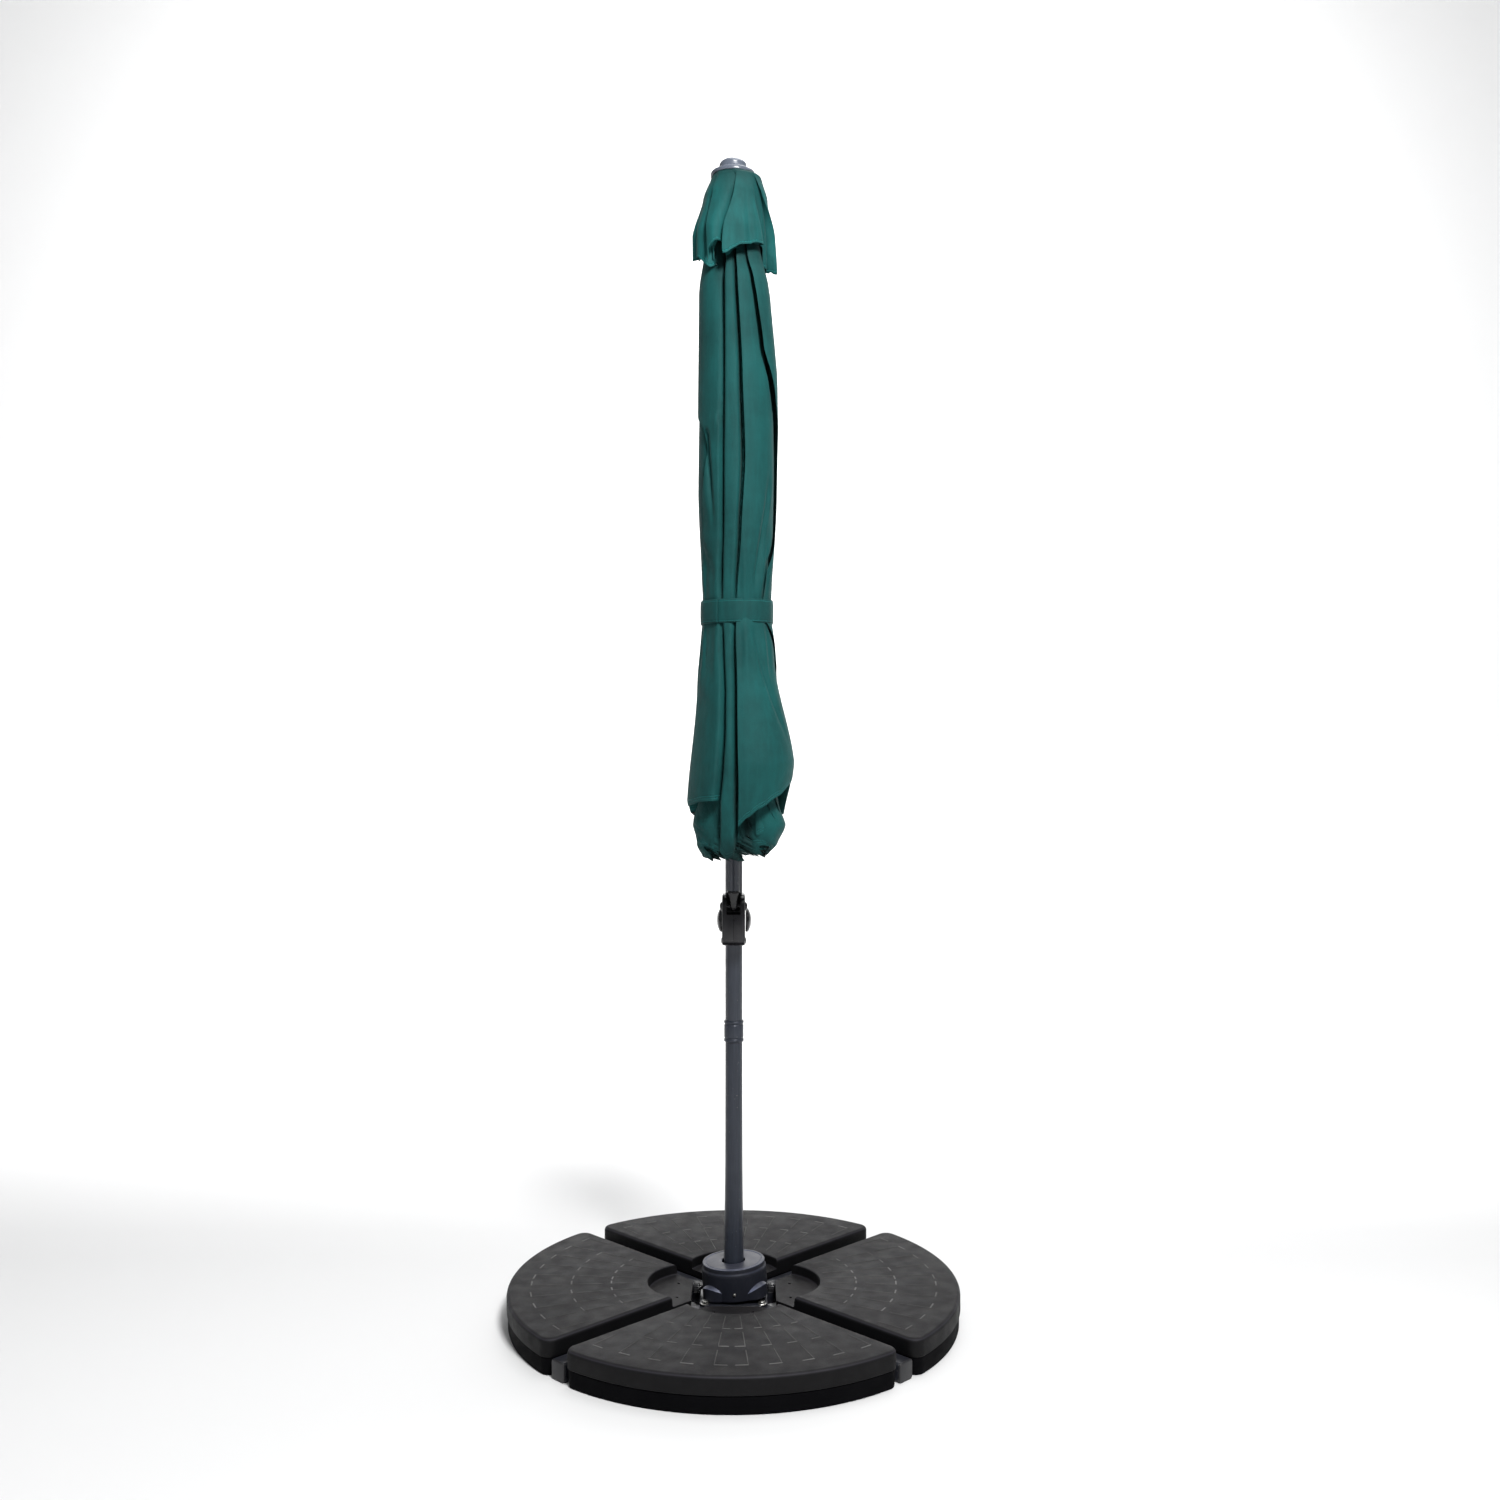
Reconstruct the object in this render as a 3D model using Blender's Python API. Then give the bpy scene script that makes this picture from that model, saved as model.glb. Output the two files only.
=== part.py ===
"""Cantilever patio umbrella, furled and strapped, on a cross base with four weights.

Frame: origin on the ground at the middle of the base, +Z up, canopy towards -Y. Metres.
"""
import math

import bmesh
import bpy
from mathutils import Matrix, Vector

for old in list(bpy.data.objects):
    bpy.data.objects.remove(old, do_unlink=True)

GAP = 0.0003

# Base
BEAM_W = 0.040            # square tube of the cross
BEAM_WALL = 0.002
BEAM_END = 0.487          # from the middle to the end of a tube
PLATE_T = 0.005
PLATE_HALF = 0.074
BOLT_R = 0.088            # base bolts, along the diagonals
TIP_R = 0.455             # small holes near the tubes' ends
COVER_R = 0.0725
COVER_TOP = 0.110
COVER_TILT = 3.5          # the loose cover leans, in degrees
KNOB_R = 0.011
KNOB_X, KNOB_Z = 0.076, 0.059   # inner face and height of the clamp knobs
KNOB_LONG = 0.014

# Weights
WEIGHT_R = 0.500
WEIGHT_H = 0.075
WEIGHT_SPLIT = 0.037
WEIGHT_GAP = 0.0235       # from a diagonal to a weight's straight side
WEIGHT_CORNER = 0.025
WEIGHT_APEX = 0.0935     # from the middle to a weight's blunt inner end
SHELF_Z = 0.052
SHELF_R = 0.112
SHELF_C = 0.080
PIT_X, PIT_Y, PIT_R, PIT_DEEP = 0.042, 0.125, 0.005, 0.010
WEIGHT_ROUND = 0.008

# Mast
MAST_R = 0.0193
MAST_WALL = 0.002
MAST_TOP = 2.290
JOINT_Z = 0.632           # where the two tubes of the mast meet

# Linkage: carriage pivot S, mast-head pivot M and common pivot B lie on one upright line,
# and B is midway, so strut and boom fold out as an isosceles triangle
CAR_Y, CAR_Z = -0.050, 0.914
STRUT_Z = 2.254
BOOM_PIN = (STRUT_Z - CAR_Z) / 2   # from S up to B, and the strut's length
HANG_Y, HANG_Z = -0.052, 2.453
BOOM_TOP = 2.436
BOOM_WX, BOOM_WY = 0.025, 0.040
BAR_IN, BAR_OUT = 0.0206, 0.0256

# Carriage
CAR_W = 0.0225            # half width
LOW_BOLT = (0, -0.045, 0.838)
CAR_LOW, CAR_HIGH = 0.822, 0.941
SLOT_HALF = 0.0135
WINCH_Y, WINCH_Z = 0.042, 0.873

# Canopy
AXIS_Y = -0.170
RIBS = 8
RIB_R = 0.029

TAU = 2 * math.pi


def material(name, colour, rough, metal=0.0):
    m = bpy.data.materials.new(name)
    m.use_nodes = True
    b = m.node_tree.nodes["Principled BSDF"]
    b.inputs["Base Color"].default_value = (*colour, 1)
    b.inputs["Roughness"].default_value = rough
    b.inputs["Metallic"].default_value = metal
    return m


def put(bm, name, mat, origin=(0, 0, 0), parent=None, sharp=35):
    """A named object from a bmesh built in the shared frame, with its origin moved to origin."""
    bmesh.ops.recalc_face_normals(bm, faces=bm.faces)
    bmesh.ops.translate(bm, verts=bm.verts, vec=-Vector(origin))
    me = bpy.data.meshes.new(name)
    bm.to_mesh(me)
    bm.free()
    o = bpy.data.objects.new(name, me)
    o.location = origin
    bpy.context.collection.objects.link(o)
    me.materials.append(material(name, *mat))
    me.shade_smooth()
    me.set_sharp_from_angle(angle=math.radians(sharp))
    if parent:
        hold(o, parent, origin)
    return o


AT = {}                   # where each pivot stands in the shared frame


def hold(o, parent, at):
    """Hangs an object that stands at the point at from a pivot."""
    o.parent = parent
    o.location = Vector(at) - AT[parent.name]


def pivot(name, at, parent=None):
    e = bpy.data.objects.new(name, None)
    e.location = at
    e.empty_display_size = 0.05
    bpy.context.collection.objects.link(e)
    AT[name] = Vector(at)
    if parent:
        hold(e, parent, at)
    return e


def prism(outline, z0, z1):
    """A polygon in X and Y, raised from z0 to z1."""
    bm = bmesh.new()
    low = [bm.verts.new((x, y, z0)) for x, y in outline]
    face = bm.faces.new(low)
    out = bmesh.ops.extrude_face_region(bm, geom=[face])
    up = [v for v in out["geom"] if isinstance(v, bmesh.types.BMVert)]
    bmesh.ops.translate(bm, verts=up, vec=(0, 0, z1 - z0))
    return bm


def box(x0, x1, y0, y1, z0, z1, bevel=0.0, steps=1):
    bm = prism([(x0, y0), (x1, y0), (x1, y1), (x0, y1)], z0, z1)
    if bevel:
        bmesh.ops.bevel(bm, geom=list(bm.edges), offset=bevel, segments=steps,
                        profile=0.5, affect="EDGES", clamp_overlap=True)
    return bm


def turned(profile, n=32, ring=False):
    """A turned solid about Z. profile is (r, z); a ring's profile closes on itself."""
    bm = bmesh.new()
    rows = []
    for r, z in profile:
        if r < 1e-7:
            rows.append([bm.verts.new((0, 0, z))] * n)
        else:
            rows.append([bm.verts.new((r * math.cos(TAU * i / n), r * math.sin(TAU * i / n), z))
                         for i in range(n)])
    pairs = list(zip(rows, rows[1:])) + ([(rows[-1], rows[0])] if ring else [])
    for a, b in pairs:
        for i in range(n):
            j = (i + 1) % n
            face = []
            for v in (a[i], a[j], b[j], b[i]):
                if v not in face:
                    face.append(v)
            if len(face) > 2:
                bm.faces.new(face)
    return bm


def rod(r, length, n=24):
    return turned([(0, 0), (r, 0), (r, length), (0, length)], n)


def tube(r_out, r_in, z0, z1, n=32, c=0.0006):
    return turned([(r_in, z0), (r_out - c, z0), (r_out, z0 + c), (r_out, z1 - c),
                   (r_out - c, z1), (r_in, z1)], n, ring=True)


def move(bm, turn=None, by=(0, 0, 0)):
    m = Matrix.Translation(by)
    if turn:
        m = m @ Matrix.Rotation(math.radians(turn[0]), 4, turn[1])
    bmesh.ops.transform(bm, matrix=m, verts=bm.verts)
    return bm


def along_x(bm, at):
    """Turns a solid made along +Z to run along +X, starting at the point at."""
    return move(bm, (90, "Y"), at)


def cutter(bm, name):
    o = put(bm, name, ((0.5, 0.1, 0.1), 0.5))
    o.hide_render = True
    o.display_type = "WIRE"
    return o


def cut(o, *cutters, how="DIFFERENCE"):
    for c in cutters:
        m = o.modifiers.new(c.name, "BOOLEAN")
        m.operation = how
        m.solver = "EXACT"
        m.object = c


STEEL = ((0.60, 0.60, 0.58), 0.28, 1.0)
PAINT = ((0.060, 0.065, 0.068), 0.38, 0.3)
MASTP = ((0.075, 0.080, 0.085), 0.42, 0.2)
BLACK = ((0.022, 0.022, 0.024), 0.30)
MATTE = ((0.030, 0.029, 0.028), 0.72)
COVER = ((0.055, 0.062, 0.072), 0.42)
CLOTH = ((0.012, 0.085, 0.072), 0.85)
RIBM = ((0.10, 0.10, 0.105), 0.4, 0.6)

# ---------------------------------------------------------------- cross base
INNER = BEAM_W / 2 - BEAM_WALL


def beam(r0, r1, name):
    """A square tube, open at both ends, along +X from r0 to r1."""
    h, k, c = BEAM_W / 2, INNER, 0.004
    outer = [(h - c, -h), (h, -h + c), (h, h - c), (h - c, h), (-h + c, h), (-h, h - c),
             (-h, -h + c), (-h + c, -h)]
    inner = [(k - c / 2, -k), (k, -k + c / 2), (k, k - c / 2), (k - c / 2, k),
             (-k + c / 2, k), (-k, k - c / 2), (-k, -k + c / 2), (-k + c / 2, -k)]
    bm = bmesh.new()
    rings = [[bm.verts.new((x, y, h + z)) for y, z in loop]
             for x, loop in ((r0, outer), (r1, outer), (r1, inner), (r0, inner))]
    for a, b in zip(rings, rings[1:] + rings[:1]):
        for i in range(8):
            j = (i + 1) % 8
            bm.faces.new((a[i], a[j], b[j], b[i]))
    return bm


holes = []
for i in range(4):
    a = math.radians(45 + 90 * i)
    holes.append(cutter(move(rod(0.0044, 0.05, 16), None,
                             (BOLT_R * math.cos(a), BOLT_R * math.sin(a), 0.02)), f"bolt_cut_{i}"))
    holes.append(cutter(move(rod(0.0035, 0.03, 12), None,
                             (TIP_R * math.cos(a), TIP_R * math.sin(a), 0.02)), f"tip_cut_{i}"))

o = put(move(beam(-BEAM_END, BEAM_END, "x"), (45, "Z")), "cross_beam_long", PAINT)
cut(o, holes[0], holes[1], holes[4], holes[5])
for k, i in enumerate((1, 3)):
    o = put(move(beam(BEAM_W / 2 + GAP, BEAM_END, "x"), (45 + 90 * i, "Z")),
            f"cross_beam_half_{k + 1}", PAINT)
    cut(o, holes[2 * i], holes[2 * i + 1])

for i in range(4):
    bm = bmesh.new()
    h, k = BEAM_W / 2, INNER - GAP
    c = 0.004
    x0 = BEAM_END + GAP
    loops = []
    for x, s, q in ((x0 - 0.018, k, c / 2), (x0, k, c / 2), (x0, h, c), (x0 + 0.003, h, c),
                    (x0 + 0.0045, h - 0.0025, c)):
        pts = [(s - q, -s), (s, -s + q), (s, s - q), (s - q, s), (-s + q, s), (-s, s - q),
               (-s, -s + q), (-s + q, -s)]
        loops.append([bm.verts.new((x, y, h + z)) for y, z in pts])
    for a, b in zip(loops, loops[1:]):
        for m in range(8):
            n = (m + 1) % 8
            bm.faces.new((a[m], a[n], b[n], b[m]))
    bm.faces.new(loops[0])
    bm.faces.new(loops[-1])
    put(move(bm, (45 + 90 * i, "Z")), f"beam_cap_{i + 1}", BLACK)

z = BEAM_W + GAP
c = 0.014
h = PLATE_HALF
plate = put(prism([(h - c, -h), (h, -h + c), (h, h - c), (h - c, h), (-h + c, h), (-h, h - c),
                   (-h, -h + c), (-h + c, -h)], z, z + PLATE_T), "base_plate", PAINT)
cut(plate, holes[0], holes[2], holes[4], holes[6])
PLATE_TOP = z + PLATE_T

for i in range(4):
    a = math.radians(45 + 90 * i)
    zb = PLATE_TOP + GAP
    bm = turned([(0, 0.018), (0.0040, 0.018), (0.0040, zb), (0.0095, zb), (0.0095, zb + 0.0015),
                 (0.0072, zb + 0.0018), (0.0072, zb + 0.0062), (0.0064, zb + 0.0072),
                 (0, zb + 0.0072)], 12)
    put(move(bm, None, (BOLT_R * math.cos(a), BOLT_R * math.sin(a), 0)), f"base_bolt_{i + 1}", STEEL)

# Socket: flange, clamping collar and the spindle that the mast turns on, one casting
z = PLATE_TOP + GAP
socket = put(turned([(0.010, z), (0.046, z), (0.048, z + 0.002), (0.048, z + 0.005),
                     (0.031, z + 0.007), (0.031, z + 0.045), (0.0300, z + 0.046),
                     (0.0232, z + 0.046), (0.0232, z + 0.0065), (0.0162, z + 0.0065),
                     (0.0162, 0.300), (0.0150, 0.302), (0.010, 0.302)], 20, ring=True),
             "mast_socket", PAINT)
for side, s in (("left", -1), ("right", 1)):
    c1 = cutter(along_x(rod(0.0044, 0.060, 16), (0.02 if s > 0 else -0.08, 0, KNOB_Z)),
                f"knob_cut_{side}")
    cut(socket, c1)

# Hub cover: a loose stepped hood with a hole for the mast, leaning a little
z0, t = PLATE_TOP + 0.0006, COVER_TOP
cov = turned([(COVER_R, z0), (COVER_R, z0 + 0.034), (COVER_R - 0.002, z0 + 0.038),
              (0.0665, z0 + 0.0395), (0.0655, z0 + 0.0405), (0.0645, z0 + 0.0500),
              (0.0625, z0 + 0.0520), (0.0400, z0 + 0.0545), (0.0385, z0 + 0.0550),
              (0.0378, t - 0.0030), (0.0360, t), (0.0275, t),
              (0.0275, t - 0.0045), (0.0345, t - 0.0045), (0.0350, z0 + 0.0505),
              (0.0620, z0 + 0.0480), (0.0628, z0 + 0.0370), (COVER_R - 0.003, z0 + 0.0350),
              (COVER_R - 0.003, z0)], 28, ring=True)
lean = Matrix.Translation((-COVER_R, 0, z0)) @ Matrix.Rotation(math.radians(-COVER_TILT), 4, "Y") \
    @ Matrix.Translation((COVER_R, 0, -z0))
bmesh.ops.transform(cov, matrix=lean, verts=cov.verts)
cover = put(cov, "hub_cover", COVER)
for side, s in (("left", -1), ("right", 1)):
    cut(cover, cutter(along_x(rod(0.0070, 0.030, 16), (0.055 if s > 0 else -0.085, 0, KNOB_Z)),
                      f"cover_cut_{side}"))

for side, s in (("left", -1), ("right", 1)):
    x = KNOB_X
    n = 20
    bm = bmesh.new()
    rows = []
    prof = [(0.0229, 0.0030, 0), (0.0239, 0.0040, 0), (x - 0.0035, 0.0040, 0),
            (x - 0.0035, 0.0062, 0), (x, 0.0062, 0), (x, KNOB_R - 0.001, 0),
            (x + 0.0015, KNOB_R, 1), (x + KNOB_LONG - 0.0020, KNOB_R, 1),
            (x + KNOB_LONG, KNOB_R - 0.002, 0)]
    for px, r, rib in prof:
        rows.append([bm.verts.new((s * px,
                                   (r - (0.0009 if rib and i % 2 else 0)) * math.cos(TAU * i / n),
                                   KNOB_Z + (r - (0.0009 if rib and i % 2 else 0))
                                   * math.sin(TAU * i / n))) for i in range(n)])
    for a, b in zip(rows, rows[1:]):
        for i in range(n):
            j = (i + 1) % n
            bm.faces.new((a[i], a[j], b[j], b[i]))
    bm.faces.new(rows[0])
    bm.faces.new(rows[-1])
    put(bm, f"clamp_knob_{side}", BLACK, (s * x, 0, KNOB_Z), sharp=50)

# ---------------------------------------------------------------- weights


def fan(inset=0.0):
    """Outline of the front weight, towards -Y, going round anticlockwise from above."""
    R, g, rc = WEIGHT_R - inset, WEIGHT_GAP + inset, WEIGHT_CORNER - inset
    u = Vector((math.sin(math.radians(45)), -math.cos(math.radians(45))))  # right-hand diagonal
    nrm = Vector((-u.y, u.x)) * -1                                        # towards the bisector
    d = g + rc
    along = math.sqrt((R - rc) ** 2 - d * d)
    centre = u * along + nrm * d
    pts = []
    apex = WEIGHT_APEX + inset
    pts.append(Vector((apex - g * math.sqrt(2), -apex)))
    a0 = math.atan2(-nrm.y, -nrm.x)
    a1 = math.atan2(centre.y, centre.x)
    while a1 < a0 - math.pi:
        a1 += TAU
    while a1 > a0 + math.pi:
        a1 -= TAU
    for i in range(4):
        a = a0 + (a1 - a0) * i / 3
        pts.append(centre + Vector((math.cos(a), math.sin(a))) * rc)
    right = pts
    left = [Vector((-p.x, p.y)) for p in reversed(pts)]
    s = math.atan2(right[-1].x, -right[-1].y)
    n = 14
    arc = [Vector((R * math.sin(s - 2 * s * i / n), -R * math.cos(s - 2 * s * i / n)))
           for i in range(1, n)]
    return right + arc + left



def layered(sections):
    """A solid from outlines of equal length at rising heights."""
    bm = bmesh.new()
    rows = [[bm.verts.new((p.x, p.y, z)) for p in fan(i)] for i, z in sections]
    for a, b in zip(rows, rows[1:]):
        for i in range(len(a)):
            j = (i + 1) % len(a)
            bm.faces.new((a[i], a[j], b[j], b[i]))
    bm.faces.new(rows[0])
    bm.faces.new(rows[-1])
    return bm


rnd = WEIGHT_ROUND
shell_rows = [(0.0, WEIGHT_SPLIT + GAP), (0.0, WEIGHT_H - rnd), (rnd * 0.12, WEIGHT_H - rnd * 0.5),
              (rnd * 0.45, WEIGHT_H - rnd * 0.12), (rnd, WEIGHT_H)]
tray_rows = [(0.0045, 0.0), (0.003, 0.004), (0.003, WEIGHT_SPLIT)]

shelf = turned([(0, SHELF_Z), (SHELF_R - 0.002, SHELF_Z), (SHELF_R, SHELF_Z + 0.003),
                (SHELF_R + 0.001, WEIGHT_H + 0.02), (0, WEIGHT_H + 0.02)], 48)
shelf = cutter(move(shelf, None, (0, -SHELF_C, 0)), "shelf_cut")
pits = [cutter(move(rod(PIT_R, 0.05, 16), None, (x, -PIT_Y, SHELF_Z - PIT_DEEP)), f"pit_cut_{k}")
        for k, x in enumerate((-PIT_X, PIT_X))]
for k, name in enumerate(("front", "right", "back", "left")):
    turn = math.radians(90 * k)
    for part, rows_ in (("shell", shell_rows), ("tray", tray_rows)):
        o = put(layered(rows_), f"weight_{name}_{part}", MATTE)
        if part == "shell":
            cuts = [shelf] + pits
            if k:
                cuts = []
                for src in [shelf] + pits:
                    c = bpy.data.objects.new(f"{src.name}_{name}", src.data)
                    c.rotation_euler.z = turn
                    c.hide_render = True
                    c.display_type = "WIRE"
                    bpy.context.collection.objects.link(c)
                    cuts.append(c)
            cut(o, *cuts)
        o.rotation_euler.z = turn

# ---------------------------------------------------------------- mast
MAST = pivot("mast_axis", (0, 0, 0.052))
ri = MAST_R - MAST_WALL
put(turned([(0.0174, 0.0535), (0.0215, 0.0535), (0.0225, 0.0560), (0.0225, 0.105),
            (0.0219, 0.150), (0.0210, 0.200), (0.0202, 0.250), (0.0196, 0.310), (MAST_R, 0.370),
            (MAST_R, JOINT_Z - GAP), (ri, JOINT_Z - GAP), (0.0174, 0.300)], 24, ring=True),
    "mast_lower", MASTP, (0, 0, 0.0535), MAST)
put(tube(MAST_R, ri, JOINT_Z + GAP, MAST_TOP, 24), "mast_upper", MASTP, (0, 0, JOINT_Z), MAST)
bore, crest, neck = MAST_R + GAP, 0.0223, 0.0211
put(turned([(bore, 0.608), (neck, 0.608), (crest, 0.6095), (crest, 0.6135), (neck, 0.6145),
            (neck, 0.6175), (crest - 0.0004, 0.6185), (crest - 0.0004, 0.6450), (neck, 0.6460),
            (neck, 0.6490), (crest, 0.6500), (crest, 0.6535), (neck, 0.655), (bore, 0.655)],
           24, ring=True),
    "mast_coupling", BLACK, (0, 0, 0.632), MAST)
put(tube(ri - GAP, ri - 0.0023, 0.532, 0.732, 24), "mast_joiner", STEEL, (0, 0, 0.632), MAST)
# Head: a cap and collar on the mast with two ears, whose stubs carry the strut
zt = MAST_TOP + GAP
mast_head = put(turned([(0, zt), (MAST_R + GAP, zt), (MAST_R + GAP, 2.236), (0.0235, 2.236),
                        (0.0235, zt + 0.006), (0.0190, zt + 0.011), (0, zt + 0.013)], 24),
                "mast_head", BLACK, (0, 0, MAST_TOP), MAST)
for side, s in (("left", -1), ("right", 1)):
    xs = sorted((s * 0.0135, s * 0.0198))
    ear = cutter(box(xs[0], xs[1], CAR_Y, -0.0160, STRUT_Z - 0.013, STRUT_Z + 0.013), f"ear_{side}")
    eye = cutter(along_x(rod(0.0130, 0.0063, 20), (xs[0], CAR_Y, STRUT_Z)), f"ear_eye_{side}")
    stub = turned([(0, 0.0160), (0.0050, 0.0160), (0.0050, 0.0262), (0, 0.0262)], 14)
    stub = along_x(stub, (0, 0, 0))
    if s < 0:
        bmesh.ops.scale(stub, vec=(-1, 1, 1), verts=stub.verts)
    cut(mast_head, ear, eye, cutter(move(stub, None, (0, CAR_Y, STRUT_Z)), f"ear_stub_{side}"),
        how="UNION")


def crossbolt(half, r, head_r, head_h, n=12, dome=True, start=None):
    """A bolt along X, centred, with a head at each end; half is from the middle to a head."""
    prof = [(0, -half - head_h)]
    if dome:
        prof += [(head_r * 0.55, -half - head_h * 0.93), (head_r * 0.88, -half - head_h * 0.6),
                 (head_r, -half - head_h * 0.18)]
    else:
        prof += [(head_r - 0.001, -half - head_h), (head_r, -half - head_h + 0.001)]
    prof += [(head_r, -half), (r, -half)]
    prof += [(p[0], -p[1]) for p in reversed(prof)]
    return along_x(turned(prof, n), (0, 0, 0))


# ---------------------------------------------------------------- pivots of the folding arm
PIN_Z = CAR_Z + BOOM_PIN
STRUT = pivot("strut_axis", (0, CAR_Y, STRUT_Z), MAST)
BOOM = pivot("boom_axis", (0, CAR_Y, PIN_Z), STRUT)
CARR = pivot("carriage_axis", (0, CAR_Y, CAR_Z), BOOM)
CAN = pivot("canopy_axis", (0, HANG_Y, HANG_Z), BOOM)

# ---------------------------------------------------------------- carriage

def side_outline():
    """The carriage seen from its side: (y, z) all the way round."""
    f, k, lo, hi = -0.0720, 0.0620, CAR_LOW, CAR_HIGH
    pts = []

    def corner(cy, cz, r, a0, a1, n):
        for i in range(n + 1):
            a = math.radians(a0 + (a1 - a0) * i / n)
            pts.append((cy + r * math.cos(a), cz + r * math.sin(a)))

    corner(CAR_Y, CAR_Z + 0.003, 0.0235, 90, 180, 6)
    corner(f + 0.016 + 0.0015, lo + 0.022, 0.016, 180, 250, 4)
    corner(k - 0.014, lo + 0.014, 0.014, 270, 360, 3)
    corner(k - 0.016, 0.905, 0.016, 0, 80, 3)
    corner(-0.022, 0.936, 0.005, 70, 90, 1)
    return pts


def shell_half(s):
    pts = side_outline()
    bm = bmesh.new()
    c = 0.003
    cy = sum(p[0] for p in pts) / len(pts)
    cz = sum(p[1] for p in pts) / len(pts)
    rows = []
    for x, k in ((GAP / 2, 0), (CAR_W - c, 0), (CAR_W - c * 0.3, c * 0.35), (CAR_W, c)):
        row = []
        for y, z in pts:
            d = Vector((y - cy, z - cz))
            d = d * (1 - k / d.length)
            row.append(bm.verts.new((s * x, cy + d.x, cz + d.y)))
        rows.append(row)
    for a, b in zip(rows, rows[1:]):
        for i in range(len(pts)):
            j = (i + 1) % len(pts)
            bm.faces.new((a[i], a[j], b[j], b[i]))
    bm.faces.new(rows[0])
    bm.faces.new(rows[-1])
    return bm


mast_cut = cutter(move(rod(MAST_R + 0.0006, 0.20, 24), None, (0, 0, 0.78)), "mast_cut")
fork = box(-SLOT_HALF, SLOT_HALF, -0.10, -0.0235, 0.8975, 0.97)
fork_cut = cutter(fork, "fork_cut")
drum_cut = cutter(along_x(rod(0.0150, 0.0250, 24), (-0.0125, WINCH_Y, WINCH_Z)), "drum_cut")
drum_top = cutter(box(-0.0085, 0.0085, WINCH_Y - 0.006, WINCH_Y + 0.006, WINCH_Z, 0.96), "drum_slot")
axle_cut = cutter(along_x(rod(0.0053, 0.07, 16), (-0.035, WINCH_Y, WINCH_Z)), "axle_cut")
pin_cut = cutter(along_x(rod(0.0053, 0.07, 16), (-0.035, CAR_Y, CAR_Z)), "boom_pin_cut")
low_cut = cutter(along_x(rod(0.0043, 0.07, 16), (-0.035, *LOW_BOLT[1:])), "low_pin_cut")
for side, s in (("left", -1), ("right", 1)):
    o = put(shell_half(s), f"carriage_shell_{side}", BLACK, (0, 0, 0.88), CARR, sharp=28)
    cut(o, mast_cut, fork_cut, drum_cut, drum_top, axle_cut, pin_cut, low_cut)

put(move(crossbolt(CAR_W + GAP, 0.0050, 0.0100, 0.0078), None, (0, CAR_Y, CAR_Z)),
    "boom_pivot_bolt", STEEL, (0, CAR_Y, CAR_Z), CARR)
put(move(crossbolt(CAR_W + GAP, 0.0040, 0.0088, 0.0050), None, LOW_BOLT),
    "carriage_bolt", STEEL, LOW_BOLT, CARR)

# Winch: drum between the shells, a disc on each side
WINCH = pivot("winch_axis", (0, WINCH_Y, WINCH_Z), CARR)
w = CAR_W + GAP
WINCH_AT = (0, WINCH_Y, WINCH_Z)
put(along_x(turned([(0, -w), (0.0050, -w), (0.0050, -0.0118), (0.0140, -0.0118),
                    (0.0140, -0.0098), (0.0085, -0.0088), (0.0085, 0.0088),
                    (0.0140, 0.0098), (0.0140, 0.0118), (0.0050, 0.0118), (0.0050, w),
                    (0, w)], 20), WINCH_AT),
    "winch_drum", STEEL, WINCH_AT, WINCH)
for side, s in (("left", -1), ("right", 1)):
    x0 = CAR_W + 2 * GAP
    bm = turned([(0, x0), (0.0190, x0), (0.0200, x0 + 0.0010), (0.0200, x0 + 0.0030),
                 (0.0188, x0 + 0.0055), (0.0150, x0 + 0.0085), (0.0085, x0 + 0.0108),
                 (0, x0 + 0.0115)], 20)
    bm = along_x(bm, (0, 0, 0))
    if s < 0:
        bmesh.ops.scale(bm, vec=(-1, 1, 1), verts=bm.verts)
    put(move(bm, None, WINCH_AT), f"winch_disc_{side}", BLACK, WINCH_AT, WINCH)

# Rear grip, a D-shaped handle with a lock lever inside it
GRIP_Y0, GRIP_Y1 = 0.0620 + GAP, 0.112
GRIP_LOW, GRIP_HIGH = 0.829, 0.907
GRIP_HALF = 0.0115


def grip():
    out = [(GRIP_Y0, GRIP_LOW), (0.098, GRIP_LOW), (0.109, 0.838), (GRIP_Y1, 0.852),
           (GRIP_Y1, 0.885), (0.107, 0.899), (0.094, GRIP_HIGH), (GRIP_Y0, GRIP_HIGH)]
    hole = [(GRIP_Y0 + 0.008, 0.843), (0.090, 0.843), (0.095, 0.848), (0.096, 0.858),
            (0.096, 0.880), (0.093, 0.888), (0.087, 0.893), (GRIP_Y0 + 0.008, 0.893)]
    bm = bmesh.new()
    rows = []
    for x, loop in ((-GRIP_HALF, out), (GRIP_HALF, out), (GRIP_HALF, hole), (-GRIP_HALF, hole)):
        rows.append([bm.verts.new((x, y, z)) for y, z in loop])
    for a, b in zip(rows, rows[1:] + rows[:1]):
        for i in range(8):
            j = (i + 1) % 8
            bm.faces.new((a[i], a[j], b[j], b[i]))
    return bm


put(grip(), "carriage_grip", BLACK, (0, GRIP_Y0, 0.868), CARR)
LEVER = (0, 0.0760, 0.8870)
put(box(-0.0060, 0.0060, 0.0735, 0.0785, 0.8475, 0.8895, 0.0012), "lock_lever", BLACK, LEVER, CARR)

# ---------------------------------------------------------------- boom
hx, hy = BOOM_WX / 2, BOOM_WY / 2


def lozenge(hx, hy, c):
    return [(hx - c, -hy), (hx, -hy + c), (hx, hy - c), (hx - c, hy), (-hx + c, hy),
            (-hx, hy - c), (-hx, -hy + c), (-hx + c, -hy)]


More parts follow.
